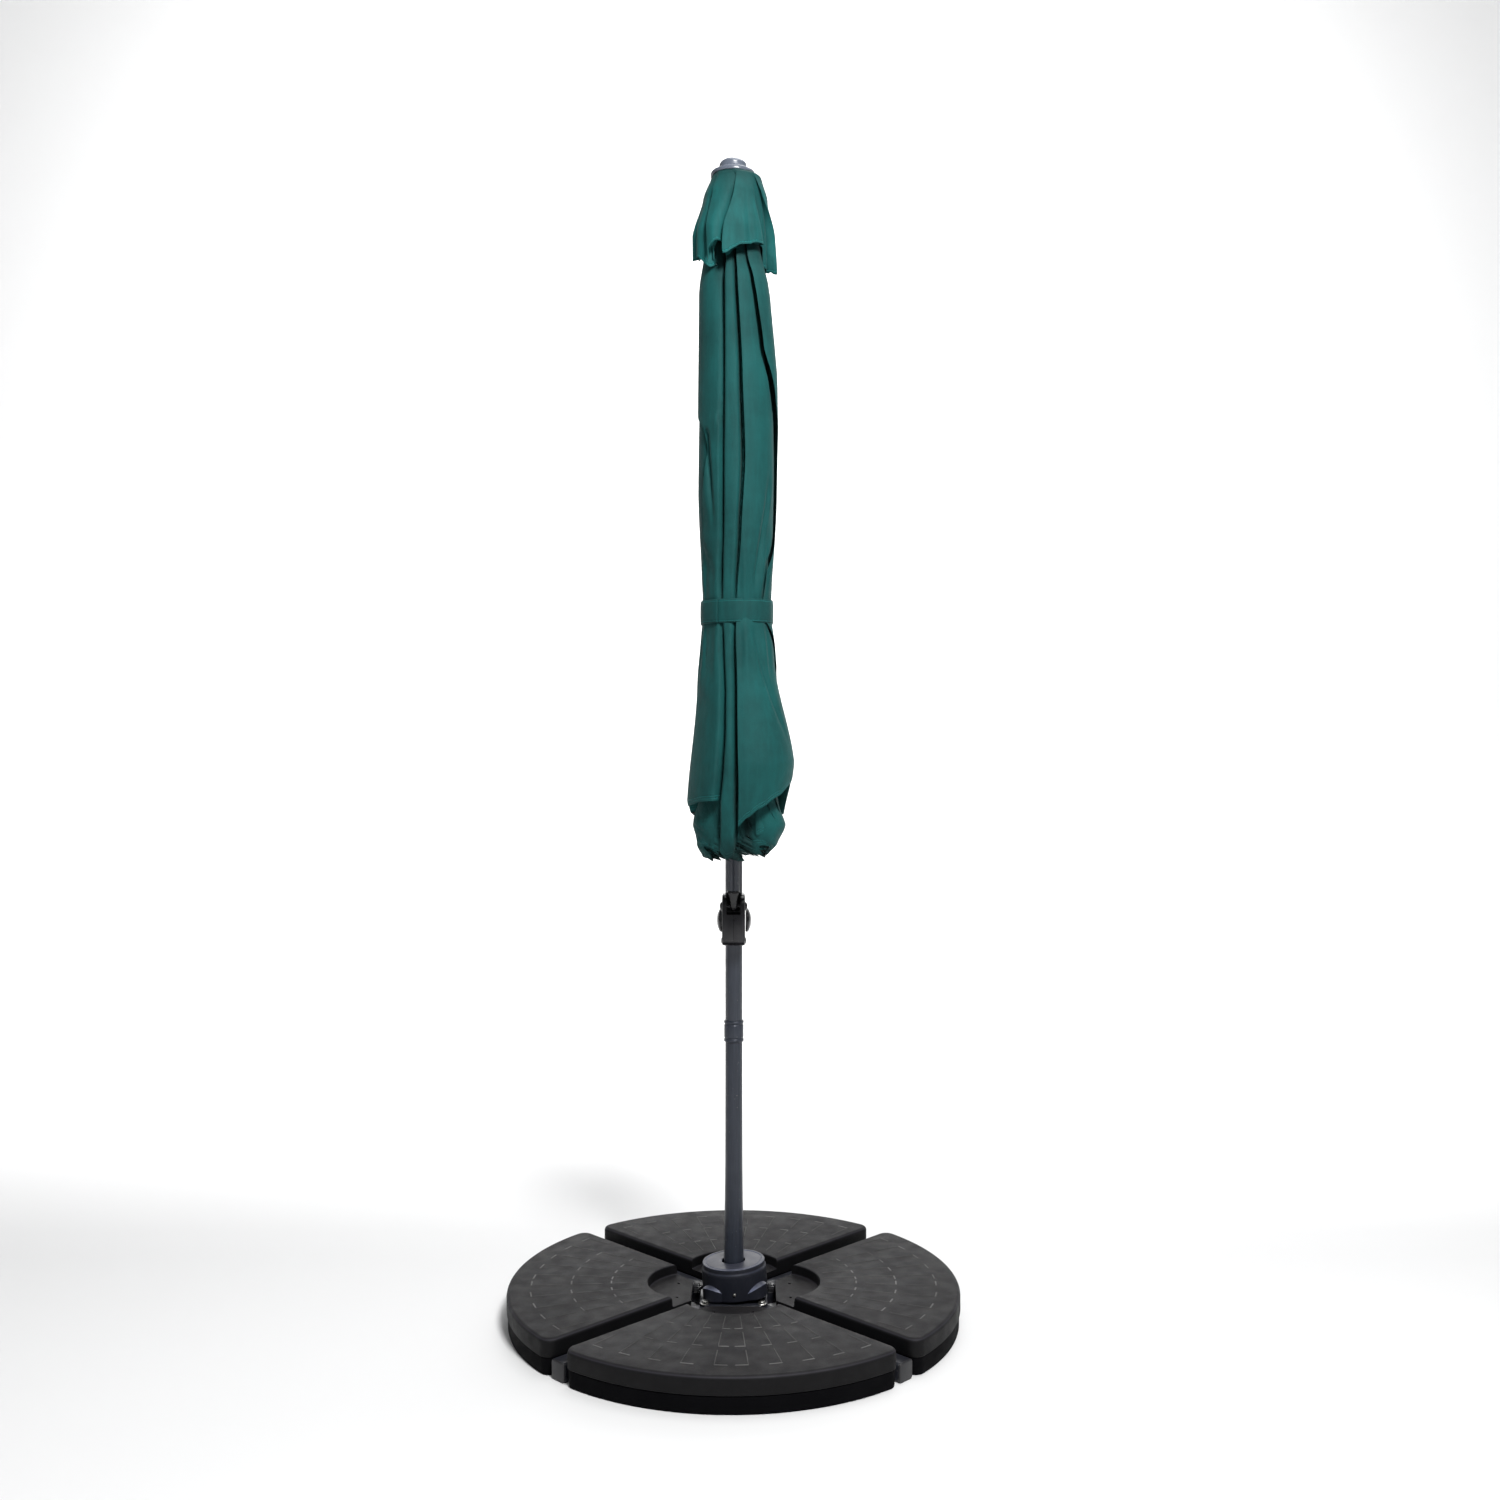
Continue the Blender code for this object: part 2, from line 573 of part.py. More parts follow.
def boom_tube():
    z0, z1 = 0.948, BOOM_TOP
    bm = bmesh.new()
    rows = []
    for z, q in ((z0, 0), (z1, 0), (z1, 1), (z0, 1)):
        loop = lozenge(hx - 0.002 * q, hy - 0.002 * q, 0.005 - 0.001 * q)
        rows.append([bm.verts.new((x, CAR_Y + y, z)) for x, y in loop])
    for a, b in zip(rows, rows[1:] + rows[:1]):
        for i in range(8):
            j = (i + 1) % 8
            bm.faces.new((a[i], a[j], b[j], b[i]))
    return bm


tube_o = put(boom_tube(), "boom_tube", MASTP)
groove = cutter(box(-0.0018, 0.0018, CAR_Y - hy - 0.01, CAR_Y - hy + 0.0009, 0.93, BOOM_TOP + 0.02),
                "groove_cut")
cut(tube_o, groove)
# bosses for the strut pivot, one each side of the tube
boss = cutter(along_x(rod(0.0085, 2 * (BAR_IN - GAP), 20), (-(BAR_IN - GAP), CAR_Y, PIN_Z)),
              "boss_join")
cut(tube_o, boss, how="UNION")

foot = bmesh.new()
rows = []
for z, a, b in ((0.9045, 0.0045, 0.0060), (0.9060, 0.0062, 0.0095), (0.9140, 0.0085, 0.0125),
                (0.9300, 0.0098, 0.0185), (0.9440, 0.0118, 0.0195), (0.9445, 0.0135, 0.0215),
                (0.9475, 0.0135, 0.0215), (0.9475, 0.0096, 0.0170), (0.9750, 0.0096, 0.0170)):
    rows.append([foot.verts.new((x, CAR_Y + y, z)) for x, y in lozenge(a, b, 0.003)])
for a, b in zip(rows, rows[1:]):
    for i in range(8):
        j = (i + 1) % 8
        foot.faces.new((a[i], a[j], b[j], b[i]))
foot.faces.new(rows[0])
foot.faces.new(rows[-1])
foot_o = put(foot, "boom_foot", BLACK, sharp=30)
cut(foot_o, cutter(along_x(rod(0.0054, 0.07, 20), (-0.035, CAR_Y, CAR_Z)), "foot_cut"))

# Head: a cap on the tube with two cheeks that hold the crown's arm
z = BOOM_TOP + GAP
head_o = put(box(-0.0165, 0.0165, CAR_Y - hy - 0.004, CAR_Y + hy + 0.004, z, z + 0.0065, 0.002),
             "boom_head", BLACK)
plug = cutter(box(-0.0084, 0.0084, CAR_Y - 0.0154, CAR_Y + 0.0154, z - 0.030, z + 0.003), "plug_join")
cut(head_o, plug, how="UNION")
for side, s in (("left", -1), ("right", 1)):
    xs = sorted((s * 0.0058, s * 0.0128))
    cheek = along_x(turned([(0, 0), (0.0125, 0), (0.0125, 0.007), (0, 0.007)], 24),
                    (xs[0], HANG_Y, HANG_Z))
    low = cutter(box(xs[0], xs[1], HANG_Y - 0.0125, HANG_Y + 0.0125, z + 0.002, HANG_Z),
                 f"cheek_low_{side}")
    cut(head_o, low, cutter(cheek, f"cheek_{side}"), how="UNION")
cut(head_o, cutter(along_x(rod(0.0043, 0.05, 16), (-0.025, HANG_Y, HANG_Z)), "hang_cut"))
for o in (tube_o, foot_o, head_o):
    for v in o.data.vertices:
        v.co -= Vector((0, CAR_Y, PIN_Z))
    hold(o, BOOM, (0, CAR_Y, PIN_Z))

# ---------------------------------------------------------------- strut
length = STRUT_Z - PIN_Z


def bar(s):
    """A flat bar with round ends, hanging from M to B, with a pivot head at its lower end."""
    r = 0.0125
    pts = []
    for i in range(9):
        a = math.pi * i / 8
        pts.append((r * math.cos(a), r * math.sin(a)))
    for i in range(9):
        a = math.pi + math.pi * i / 8
        pts.append((r * math.cos(a), -length + r * math.sin(a)))
    bm = bmesh.new()
    rows = [[bm.verts.new((s * x, y, z)) for y, z in pts] for x in (BAR_IN, BAR_OUT)]
    for i in range(len(pts)):
        j = (i + 1) % len(pts)
        bm.faces.new((rows[0][i], rows[0][j], rows[1][j], rows[1][i]))
    bm.faces.new(rows[0])
    bm.faces.new(rows[1])
    return move(bm, None, (0, CAR_Y, STRUT_Z))


for side, s in (("left", -1), ("right", 1)):
    o = put(bar(s), f"strut_bar_{side}", MASTP, (0, CAR_Y, STRUT_Z), STRUT)
    c1 = cutter(along_x(rod(0.0054, 0.03, 16), (s * 0.023 - 0.015, CAR_Y, STRUT_Z)),
                f"bar_cut_{side}")
    cut(o, c1)
    x0 = BAR_OUT - 0.002
    h1 = turned([(0, x0), (0.0085, x0), (0.0085, x0 + 0.0060), (0.0070, x0 + 0.0075),
                 (0, x0 + 0.0080)], 16)
    h1 = along_x(h1, (0, 0, 0))
    if s < 0:
        bmesh.ops.scale(h1, vec=(-1, 1, 1), verts=h1.verts)
    cut(o, cutter(move(h1, None, (0, CAR_Y, PIN_Z)), f"bar_head_{side}"), how="UNION")

# ---------------------------------------------------------------- canopy frame


def hang(bm, name, mat, sharp=35):
    o = put(bm, name, mat, (0, HANG_Y, HANG_Z), sharp=sharp)
    o.parent = CAN
    o.location = (0, 0, 0)
    return o


def at_axis(bm):
    return move(bm, None, (0, AXIS_Y, 0))


HUB_TOP, HUB_LOW = 2.4620, 2.372
hub = turned([(0, HUB_LOW), (0.0240, HUB_LOW), (0.0260, HUB_LOW + 0.002), (0.0260, 2.400),
              (0.0180, 2.408), (0.0180, HUB_TOP - 0.001), (0.0170, HUB_TOP), (0, HUB_TOP)], 24)
hub_o = hang(at_axis(hub), "crown_hub", BLACK)
cut(hub_o, cutter(box(-0.0050, 0.0050, AXIS_Y, HANG_Y, HANG_Z - 0.0070, HANG_Z + 0.0045), "arm_bar"),
    how="UNION")
cut(hub_o, cutter(along_x(rod(0.0080, 0.0101, 24), (-0.00505, HANG_Y, HANG_Z)), "arm_eye"),
    how="UNION")
cut(hub_o, cutter(along_x(rod(0.0043, 0.08, 16), (-0.04, HANG_Y, HANG_Z)), "hub_pin_cut"))
hang_bolt = put(move(crossbolt(0.0128 + GAP, 0.0040, 0.0075, 0.0040, dome=False), None,
                     (0, HANG_Y, HANG_Z)), "hang_bolt", STEEL, (0, HANG_Y, HANG_Z))
hold(hang_bolt, BOOM, (0, HANG_Y, HANG_Z))
hang(at_axis(tube(0.0135, 0.0115, 1.560, HUB_LOW - GAP, 20)), "centre_post", STEEL)
hang(at_axis(turned([(0.0142, 1.660), (0.0220, 1.660), (0.0230, 1.662), (0.0230, 1.694),
                     (0.0180, 1.700), (0.0142, 1.700)], 24, ring=True)), "runner", BLACK)
for i in range(RIBS):
    a = TAU * (i + 0.5) / RIBS
    bm = box(-0.0060, 0.0060, -0.0040, 0.0040, 1.075, 2.398)
    bmesh.ops.translate(bm, verts=bm.verts, vec=(0, -(RIB_R + 0.0045), 0))
    bmesh.ops.rotate(bm, matrix=Matrix.Rotation(a, 3, "Z"), cent=(0, 0, 0), verts=bm.verts)
    hang(at_axis(bm), f"rib_{i + 1}", RIBM)

# Crown: a ring that clamps the cloth and the domed cap
CAP_Z = 2.4625
hang(at_axis(turned([(0, CAP_Z), (0.0450, CAP_Z), (0.0475, CAP_Z + 0.0018), (0.0475, CAP_Z + 0.0060),
                     (0.0455, CAP_Z + 0.0080), (0.0320, CAP_Z + 0.0105), (0.0300, CAP_Z + 0.0110),
                     (0.0290, CAP_Z + 0.0140), (0.0285, CAP_Z + 0.0240), (0.0262, CAP_Z + 0.0330),
                     (0.0205, CAP_Z + 0.0405), (0.0110, CAP_Z + 0.0450), (0, CAP_Z + 0.0462)], 24)),
     "crown_cap", BLACK)

# ---------------------------------------------------------------- canopy cloth
CLEAR_Y = -0.0765         # the cloth's rear is pressed flat against the boom


def lobed(r, z, n, lobes, depth, phase, squeeze=CLEAR_Y, twist=0.0):
    """One ring of the furled bundle: soft folds round it, flattened behind."""
    pts = []
    for i in range(n):
        a = TAU * i / n
        d = 1 + depth * math.cos(lobes * (a + phase + twist * z)) ** 3
        x, y = r * d * math.cos(a), AXIS_Y + r * d * math.sin(a)
        pts.append(Vector((x, min(y, squeeze), z)))
    return pts


def skin(rows, inner, name, mat):
    """A thick cup: outer rows from the bottom up, then inner rows from the top down."""
    bm = bmesh.new()
    loops = [[bm.verts.new(p) for p in row] for row in rows + inner]
    for a, b in zip(loops, loops[1:]):
        n = len(a)
        for i in range(n):
            j = (i + 1) % n
            bm.faces.new((a[i], a[j], b[j], b[i]))
    a, b = loops[-1], loops[0]
    for i in range(len(a)):
        j = (i + 1) % len(a)
        bm.faces.new((a[i], a[j], b[j], b[i]))
    return hang(bm, name, mat, 45)


N = 24
BODY = [(1.045, 0.086, 0.05), (1.075, 0.101, 0.05), (1.130, 0.104, 0.05), (1.180, 0.108, 0.05),
        (1.235, 0.107, 0.05), (1.330, 0.100, 0.05), (1.420, 0.091, 0.045), (1.500, 0.0795, 0.03),
        (1.524, 0.0755, 0.0), (1.570, 0.0755, 0.0), (1.600, 0.080, 0.03), (1.720, 0.0850, 0.04),
        (1.880, 0.0865, 0.04), (2.050, 0.0870, 0.04), (2.200, 0.0855, 0.04), (2.300, 0.0790, 0.03),
        (2.380, 0.0640, 0.0), (2.425, 0.0560, 0.0)]
outer = [lobed(r / (1 + d), z, N, 8, d, 0.25) for z, r, d in BODY]
inner = [lobed(r, z, N, 8, 0.0, 0.0) for z, r in ((2.4245, 0.0300), (2.4020, 0.0300),
                                                  (2.4000, 0.0450), (1.045, 0.0450))]
skin(outer, inner, "canopy_cloth", CLOTH)

# Vent flap: a short second tier over the crown, flaring out over the folded cloth
FLAP = [(2.270, 0.0935), (2.330, 0.0905), (2.375, 0.0850), (2.425, 0.0740), (2.450, 0.0600),
        (2.4605, 0.0440)]
outer = [lobed(r / (1 + 0.04), z, N, 8, 0.04, 0.1, CLEAR_Y) for z, r in FLAP]
INN = [(2.4590, 0.0400), (2.4480, 0.0560), (2.4265, 0.0680), (2.3800, 0.0800), (2.3320, 0.0885),
       (2.270, 0.0925)]
inner = [lobed(r / (1 + 0.04) - 0.0012, z, N, 8, 0.04, 0.1, CLEAR_Y - 0.0016) for z, r in INN]
flap_o = skin(outer, inner, "vent_flap", CLOTH)
cut(flap_o, cutter(box(-0.0070, 0.0070, -0.1450, -0.0500, 2.20, 2.48), "flap_slit"))

# Strap round the waist
outer = [lobed(r, z, N, 8, 0.0, 0.0, CLEAR_Y + 0.003) for z, r in
         ((1.5225, 0.0765), (1.5240, 0.0775), (1.5690, 0.0775), (1.5705, 0.0765))]
inner = [lobed(0.0759, z, N, 8, 0.0, 0.0, CLEAR_Y + 0.0004) for z in (1.5700, 1.5230)]
skin(outer, inner, "canopy_strap", CLOTH)
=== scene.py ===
"""Looks of the furled cantilever umbrella: cloth, mouldings, paint and fasteners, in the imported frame."""
import math

import bmesh
import bpy
import numpy as np
from mathutils import Matrix, Vector


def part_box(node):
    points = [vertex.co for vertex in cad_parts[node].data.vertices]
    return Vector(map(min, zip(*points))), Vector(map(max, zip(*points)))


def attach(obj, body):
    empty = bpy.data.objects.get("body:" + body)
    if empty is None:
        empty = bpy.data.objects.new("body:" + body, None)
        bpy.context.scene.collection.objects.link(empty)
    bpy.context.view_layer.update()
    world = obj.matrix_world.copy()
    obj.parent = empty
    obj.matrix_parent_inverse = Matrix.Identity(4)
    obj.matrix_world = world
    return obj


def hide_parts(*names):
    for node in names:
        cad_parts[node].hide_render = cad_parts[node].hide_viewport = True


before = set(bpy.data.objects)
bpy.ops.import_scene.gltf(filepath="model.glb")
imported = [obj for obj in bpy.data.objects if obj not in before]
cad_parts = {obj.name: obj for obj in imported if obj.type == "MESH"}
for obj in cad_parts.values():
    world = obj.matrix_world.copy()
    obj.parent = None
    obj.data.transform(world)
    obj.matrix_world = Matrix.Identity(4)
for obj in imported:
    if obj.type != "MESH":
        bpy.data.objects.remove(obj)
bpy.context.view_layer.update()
TAU = 2 * math.pi
BLACK, WHITE = (0, 0, 0), (1, 1, 1)

# Sizes shared with the CAD
AXIS_Y = -0.170            # the canopy's axis
COVER_R = 0.0725
WEIGHT_R, WEIGHT_GAP, WEIGHT_CORNER, WEIGHT_APEX = 0.500, 0.0235, 0.025, 0.0935
WEIGHT_H, WEIGHT_SPLIT = 0.075, 0.037
SHELF_Z, SHELF_R, SHELF_C = 0.052, 0.112, 0.080
KNOB_X, KNOB_Z = 0.076, 0.059
MAST_R, MAST_BORE = 0.0193, 0.0173

# Cloth
RIB = 1.45                 # from the crown to a rib's end
HALF_PANEL = math.radians(22.5)
CLOTH_TOP = 2.470
FLAP_TOP = 2.4685
STRAP_LOW, STRAP_HIGH = 1.522, 1.571
WAIST_Z = 1.546            # the height at which the strap draws the bundle in
STRAP_OVERLAP = 1.09       # turns of the strap round the bundle
STRAP_R = 0.077            # its mean radius, for the weave only

# Looks
THREAD = 0.0014            # pitch of the weave
STITCH = 0.0042            # length of a stitch and its gap
CARRIAGE_WIDER = 1.12      # how much wider the shown housing is than the solid's, along X
DISC_WIDER = 1.35          # the same for the winch discs' radius
DISC_THICKER = 1.1         # and for their thickness


# ---------- materials
def material(name, colour, rough, metal=0.0, shine=0.5):
    m = bpy.data.materials.new(name)
    m.use_nodes = True
    b = m.node_tree.nodes["Principled BSDF"]
    b.inputs["Base Color"].default_value = (*colour, 1)
    b.inputs["Roughness"].default_value = rough
    b.inputs["Metallic"].default_value = metal
    b.inputs["Specular IOR Level"].default_value = shine
    return m, m.node_tree, b


def coords(tree, kind="Object", scale=(1, 1, 1)):
    c = tree.nodes.new("ShaderNodeTexCoord")
    m = tree.nodes.new("ShaderNodeMapping")
    m.inputs["Scale"].default_value = scale
    tree.links.new(c.outputs[kind], m.inputs["Vector"])
    return m.outputs["Vector"]


def noise(tree, where, scale, detail=2.0, rough=0.5):
    n = tree.nodes.new("ShaderNodeTexNoise")
    n.inputs["Scale"].default_value = scale
    n.inputs["Detail"].default_value = detail
    n.inputs["Roughness"].default_value = rough
    tree.links.new(where, n.inputs["Vector"])
    return n.outputs["Fac"]


def ramp(tree, fac, stops):
    """stops: (position, colour)."""
    r = tree.nodes.new("ShaderNodeValToRGB")
    while len(r.color_ramp.elements) < len(stops):
        r.color_ramp.elements.new(0.5)
    for e, (at, c) in zip(r.color_ramp.elements, stops):
        e.position = at
        e.color = (*c, 1) if len(c) == 3 else c
    tree.links.new(fac, r.inputs["Fac"])
    return r.outputs["Color"]


def math_node(tree, how, a, b=0.0, clamp=False):
    m = tree.nodes.new("ShaderNodeMath")
    m.operation = how
    m.use_clamp = clamp
    for i, v in enumerate((a, b)):
        if isinstance(v, (int, float)):
            m.inputs[i].default_value = v
        else:
            tree.links.new(v, m.inputs[i])
    return m.outputs[0]


def mix(tree, fac, a, b, how="MIX"):
    m = tree.nodes.new("ShaderNodeMix")
    m.data_type = "RGBA"
    m.blend_type = how
    for sock, v in ((m.inputs[0], fac), (m.inputs[6], a), (m.inputs[7], b)):
        if isinstance(v, (int, float)):
            sock.default_value = v
        elif isinstance(v, tuple):
            sock.default_value = (*v, 1)
        else:
            tree.links.new(v, sock)
    return m.outputs[2]


def bump(tree, bsdf, height, strength, distance, under=None):
    b = tree.nodes.new("ShaderNodeBump")
    b.inputs["Strength"].default_value = strength
    b.inputs["Distance"].default_value = distance
    tree.links.new(height, b.inputs["Height"])
    if under:
        tree.links.new(under, b.inputs["Normal"])
    tree.links.new(b.outputs["Normal"], bsdf.inputs["Normal"])
    return b.outputs["Normal"]


def shade(rgb, k):
    return tuple(c * k for c in rgb)


def uneven_gloss(tree, bsdf, where, scale, rough, less, more):
    patches = noise(tree, where, scale, 3.0)
    gloss = ramp(tree, patches, [(0.3, (rough - less,) * 3), (0.7, (rough + more,) * 3)])
    tree.links.new(gloss, bsdf.inputs["Roughness"])


def dust_and_painted_edge_light(tree, where, colour, col, dust):
    """Painted shade on the steep walls and a painted highlight along the rounded rims, by the slope of the
    surface; dust and flecks lie on the flats.
    """
    up = tree.nodes.new("ShaderNodeNewGeometry")
    sep = tree.nodes.new("ShaderNodeSeparateXYZ")
    tree.links.new(up.outputs["Normal"], sep.inputs[0])
    flat = math_node(tree, "POWER", math_node(tree, "MAXIMUM", sep.outputs["Z"], 0.0), 6.0)
    # Painted light by slope: steep walls darkened to 0.40 as painted shade, the rounded top rim lightened up
    # to 4x as a painted highlight.
    rim = ramp(tree, sep.outputs["Z"], [(0.20, shade(colour, 0.40)), (0.45, shade(colour, 1.0)),
                                        (0.65, shade(colour, 4.0)), (0.88, shade(colour, 1.8))])
    col = mix(tree, ramp(tree, sep.outputs["Z"], [(0.80, BLACK), (0.99, WHITE)]), rim, col)
    drift = ramp(tree, noise(tree, where, 14.0, 6.0, 0.7), [(0.35, BLACK), (0.75, WHITE)])
    film = math_node(tree, "MULTIPLY", math_node(tree, "MULTIPLY", flat, dust), drift)
    col = mix(tree, film, col, (0.16, 0.14, 0.12))
    fleck = ramp(tree, noise(tree, where, 420.0, 1.0, 0.4), [(0.735, BLACK), (0.77, WHITE)])
    specks = math_node(tree, "MULTIPLY", fleck, math_node(tree, "MULTIPLY", flat, dust * 0.9))
    return mix(tree, specks, col, (0.34, 0.32, 0.29))


def moulded(name, colour, rough, grain=1500.0, depth=0.00012, dust=0.0, spread=0.25, shine=0.4):
    """Moulded plastic: fine pebbled skin, uneven gloss and, where asked, a little dust on the flats together
    with painted shade on the walls and a painted highlight on the rims.
    """
    m, t, b = material(name, colour, rough, 0.0, shine)
    where = coords(t)
    blotch = noise(t, where, 9.0, 4.0, 0.6)
    col = ramp(t, blotch, [(0.3, shade(colour, 1 - spread)), (0.7, shade(colour, 1 + spread))])
    # Any dust amount also brings the painted wall shade and rim highlight.
    if dust:
        col = dust_and_painted_edge_light(t, where, colour, col, dust)
    t.links.new(col, b.inputs["Base Color"])
    uneven_gloss(t, b, where, 30.0, rough, 0.06, 0.07)
    bump(t, b, noise(t, where, grain, 2.0, 0.6), 0.6, depth)
    return m


def powder_coat(name, colour, rough, metal=0.25, streak=(60, 60, 3)):
    """Painted tube: orange-peel skin, faint streaks along the tube, a few rubbed specks."""
    m, t, b = material(name, colour, rough, metal)
    b.inputs["Coat Weight"].default_value = 0.25
    b.inputs["Coat Roughness"].default_value = 0.22
    where = coords(t)
    lines = noise(t, coords(t, "Object", streak), 6.0, 3.0, 0.55)
    col = ramp(t, lines, [(0.3, shade(colour, 0.8)), (0.7, shade(colour, 1.22))])
    fleck = ramp(t, noise(t, where, 260.0, 1.0, 0.3), [(0.76, BLACK), (0.80, WHITE)])
    col = mix(t, math_node(t, "MULTIPLY", fleck, 0.35), col, (0.30, 0.30, 0.29))
    t.links.new(col, b.inputs["Base Color"])
    uneven_gloss(t, b, where, 40.0, rough, 0.07, 0.08)
    bump(t, b, noise(t, where, 900.0, 2.0, 0.5), 0.35, 0.00008)
    return m


def plated(name, colour=(0.62, 0.61, 0.58), rough=0.26):
    """Zinc-plated steel with fine brushing and dull patches."""
    m, t, b = material(name, colour, rough, 1.0)
    where = coords(t)
    col = ramp(t, noise(t, where, 120.0, 4.0, 0.6),
               [(0.3, shade(colour, 0.72)), (0.7, shade(colour, 1.15))])
    t.links.new(col, b.inputs["Base Color"])
    uneven_gloss(t, b, where, 300.0, rough, 0.1, 0.2)
    bump(t, b, noise(t, where, 2000.0, 1.0), 0.25, 0.00004)
    return m


def weave(tree, uv):
    """Height of crossed threads along and across the cloth."""
    threads = []
    for direction in "XY":
        w = tree.nodes.new("ShaderNodeTexWave")
        w.bands_direction = direction
        w.inputs["Scale"].default_value = 1 / THREAD / 20 * 6.2832
        w.inputs["Distortion"].default_value = 0.6
        w.inputs["Detail"].default_value = 1.0
        tree.links.new(uv, w.inputs["Vector"])
        threads.append(w.outputs["Fac"])
    return math_node(tree, "ADD", threads[0], threads[1])


def stitching(tree, uv, stitch_rows):
    """The grooves that rows of stitches draw in the cloth, and the threads that lie in them."""
    sep = tree.nodes.new("ShaderNodeSeparateXYZ")
    tree.links.new(uv, sep.inputs[0])
    rows = None
    for at, width in stitch_rows:
        d = math_node(tree, "ABSOLUTE", math_node(tree, "SUBTRACT", sep.outputs["Y"], at))
        line = math_node(tree, "SUBTRACT", 1.0, math_node(tree, "DIVIDE", d, width), clamp=True)
        rows = line if rows is None else math_node(tree, "MAXIMUM", rows, line)
    along = math_node(tree, "FRACT", math_node(tree, "DIVIDE", sep.outputs["X"], STITCH))
    dash = math_node(tree, "GREATER_THAN", along, 0.25)
    return rows, math_node(tree, "MULTIPLY", rows, dash)


def crease_shade_mask(tree, where):
    """Mask for the painted crease shade: 0 deep in the bundle and 1 on its outside, by distance from the
    canopy's axis.
    """
    flat = tree.nodes.new("ShaderNodeMapping")
    flat.inputs["Location"].default_value = (-0.008, -AXIS_Y, 0)
    flat.inputs["Scale"].default_value = (1, 1, 0)
    tree.links.new(where, flat.inputs["Vector"])
    reach = tree.nodes.new("ShaderNodeVectorMath")
    reach.operation = "LENGTH"
    tree.links.new(flat.outputs[0], reach.inputs[0])
    height = tree.nodes.new("ShaderNodeSeparateXYZ")
    tree.links.new(where, height.inputs[0])
    low = math_node(tree, "DIVIDE", math_node(tree, "SUBTRACT", 1.20, height.outputs["Z"]), 0.10, clamp=True)
    core = math_node(tree, "ADD", 0.046, math_node(tree, "MULTIPLY", low, 0.012))
    return math_node(tree, "DIVIDE", math_node(tree, "SUBTRACT", reach.outputs["Value"], core), 0.024,
                     clamp=True)


def canvas(name, colour, stitch_rows):
    """Woven polyester, with painted shade deep in the creases. UV is metres across and along the cloth;
    stitch_rows are (distance along, width)."""
    m, t, b = material(name, colour, 0.72, 0.0, 0.18)
    b.inputs["Sheen Weight"].default_value = 0.06
    b.inputs["Sheen Roughness"].default_value = 0.45
    b.inputs["Sheen Tint"].default_value = (0.55, 0.78, 0.74, 1)
    uv = coords(t, "UV")
    where = coords(t)
    tone = noise(t, where, 7.0, 5.0, 0.6)
    col = ramp(t, tone, [(0.28, shade(colour, 0.70)), (0.5, colour), (0.72, shade(colour, 1.30))])
    streak = noise(t, coords(t, "Object", (1, 1, 0.12)), 90.0, 3.0, 0.6)
    col = mix(t, math_node(t, "MULTIPLY", ramp(t, streak, [(0.45, BLACK), (0.75, WHITE)]), 0.22),
              col, shade(colour, 1.9))
    rows, thread = stitching(t, uv, stitch_rows)
    col = mix(t, math_node(t, "MULTIPLY", thread, 0.8), col, shade(colour, 2.6))
    # Painted shade: the cloth's colour falls to 0.30 deep in the creases, by distance from the axis.
    col = mix(t, crease_shade_mask(t, where), shade(colour, 0.30), col)
    t.links.new(col, b.inputs["Base Color"])
    first = bump(t, b, weave(t, uv), 0.35, 0.00025)
    second = bump(t, b, noise(t, where, 38.0, 6.0, 0.62), 0.30, 0.004, first)
    bump(t, b, math_node(t, "SUBTRACT", 1.0, rows), 0.7, 0.0012, second)
    return m


GREEN = (0.0045, 0.078, 0.076)
M = {
    # The canopy's cloth is the flap's fabric at 0.70: painted shade for the bundle below the flap, which gets
    # less light.
    "cloth": canvas("green_canvas", shade(GREEN, 0.70), [(1.329, 0.0012), (1.334, 0.0012)]),
    "flap": canvas("green_canvas_flap", GREEN, [(0.252, 0.0011)]),
    "strap": canvas("green_strap", shade(GREEN, 0.62), [(0.004, 0.0014), (0.045, 0.0014)]),
    "mast": powder_coat("mast_paint", (0.019, 0.024, 0.036), 0.42),
    "beam": powder_coat("beam_paint", (0.014, 0.015, 0.020), 0.36, 0.0, (3, 3, 60)),
    # The weight's and the cover's dust amounts also switch on the painted wall shade and rim highlight.
    "weight": moulded("weight_plastic", (0.0050, 0.0047, 0.0060), 0.60, 650.0, 0.00060, 0.05, 0.20, 0.18),
    # The tray is the weights' black plastic drawn darker still: painted shade on the weight's lower half,
    # near the ground.
    "tray": moulded("tray_plastic", (0.0016, 0.0016, 0.0022), 0.75, 1300.0, 0.00025, 0.0, 0.25, 0.05),
    # Tick and ridge marks: the weights' black plastic drawn lighter, a painted highlight along their raised
    # edges.
    "tick_highlight": moulded("tick_highlight_plastic", (0.075, 0.073, 0.072), 0.60, 900.0, 0.00020, 0.0, 0.50, 0.2),
    "ridge": moulded("ridge_plastic", (0.040, 0.039, 0.038), 0.60, 900.0, 0.00020, 0.0, 0.50, 0.2),
    "cover": moulded("cover_plastic", (0.026, 0.029, 0.044), 0.42, 1900.0, 0.00008, 0.10, 0.12, 0.35),
    "black": moulded("black_plastic", (0.018, 0.018, 0.020), 0.42, 2200.0, 0.00007),
    "gloss": moulded("gloss_black_plastic", (0.012, 0.012, 0.014), 0.20, 2600.0, 0.00003),
    # The cap is glossy black plastic; its pale blue-grey colour is a painted reflection of a bright sky.
    "cap": moulded("cap_plastic", (0.085, 0.098, 0.125), 0.24, 2600.0, 0.00003),
    "zinc": plated("zinc_plate"),
    "rib": powder_coat("rib_paint", (0.10, 0.10, 0.105), 0.42),
}


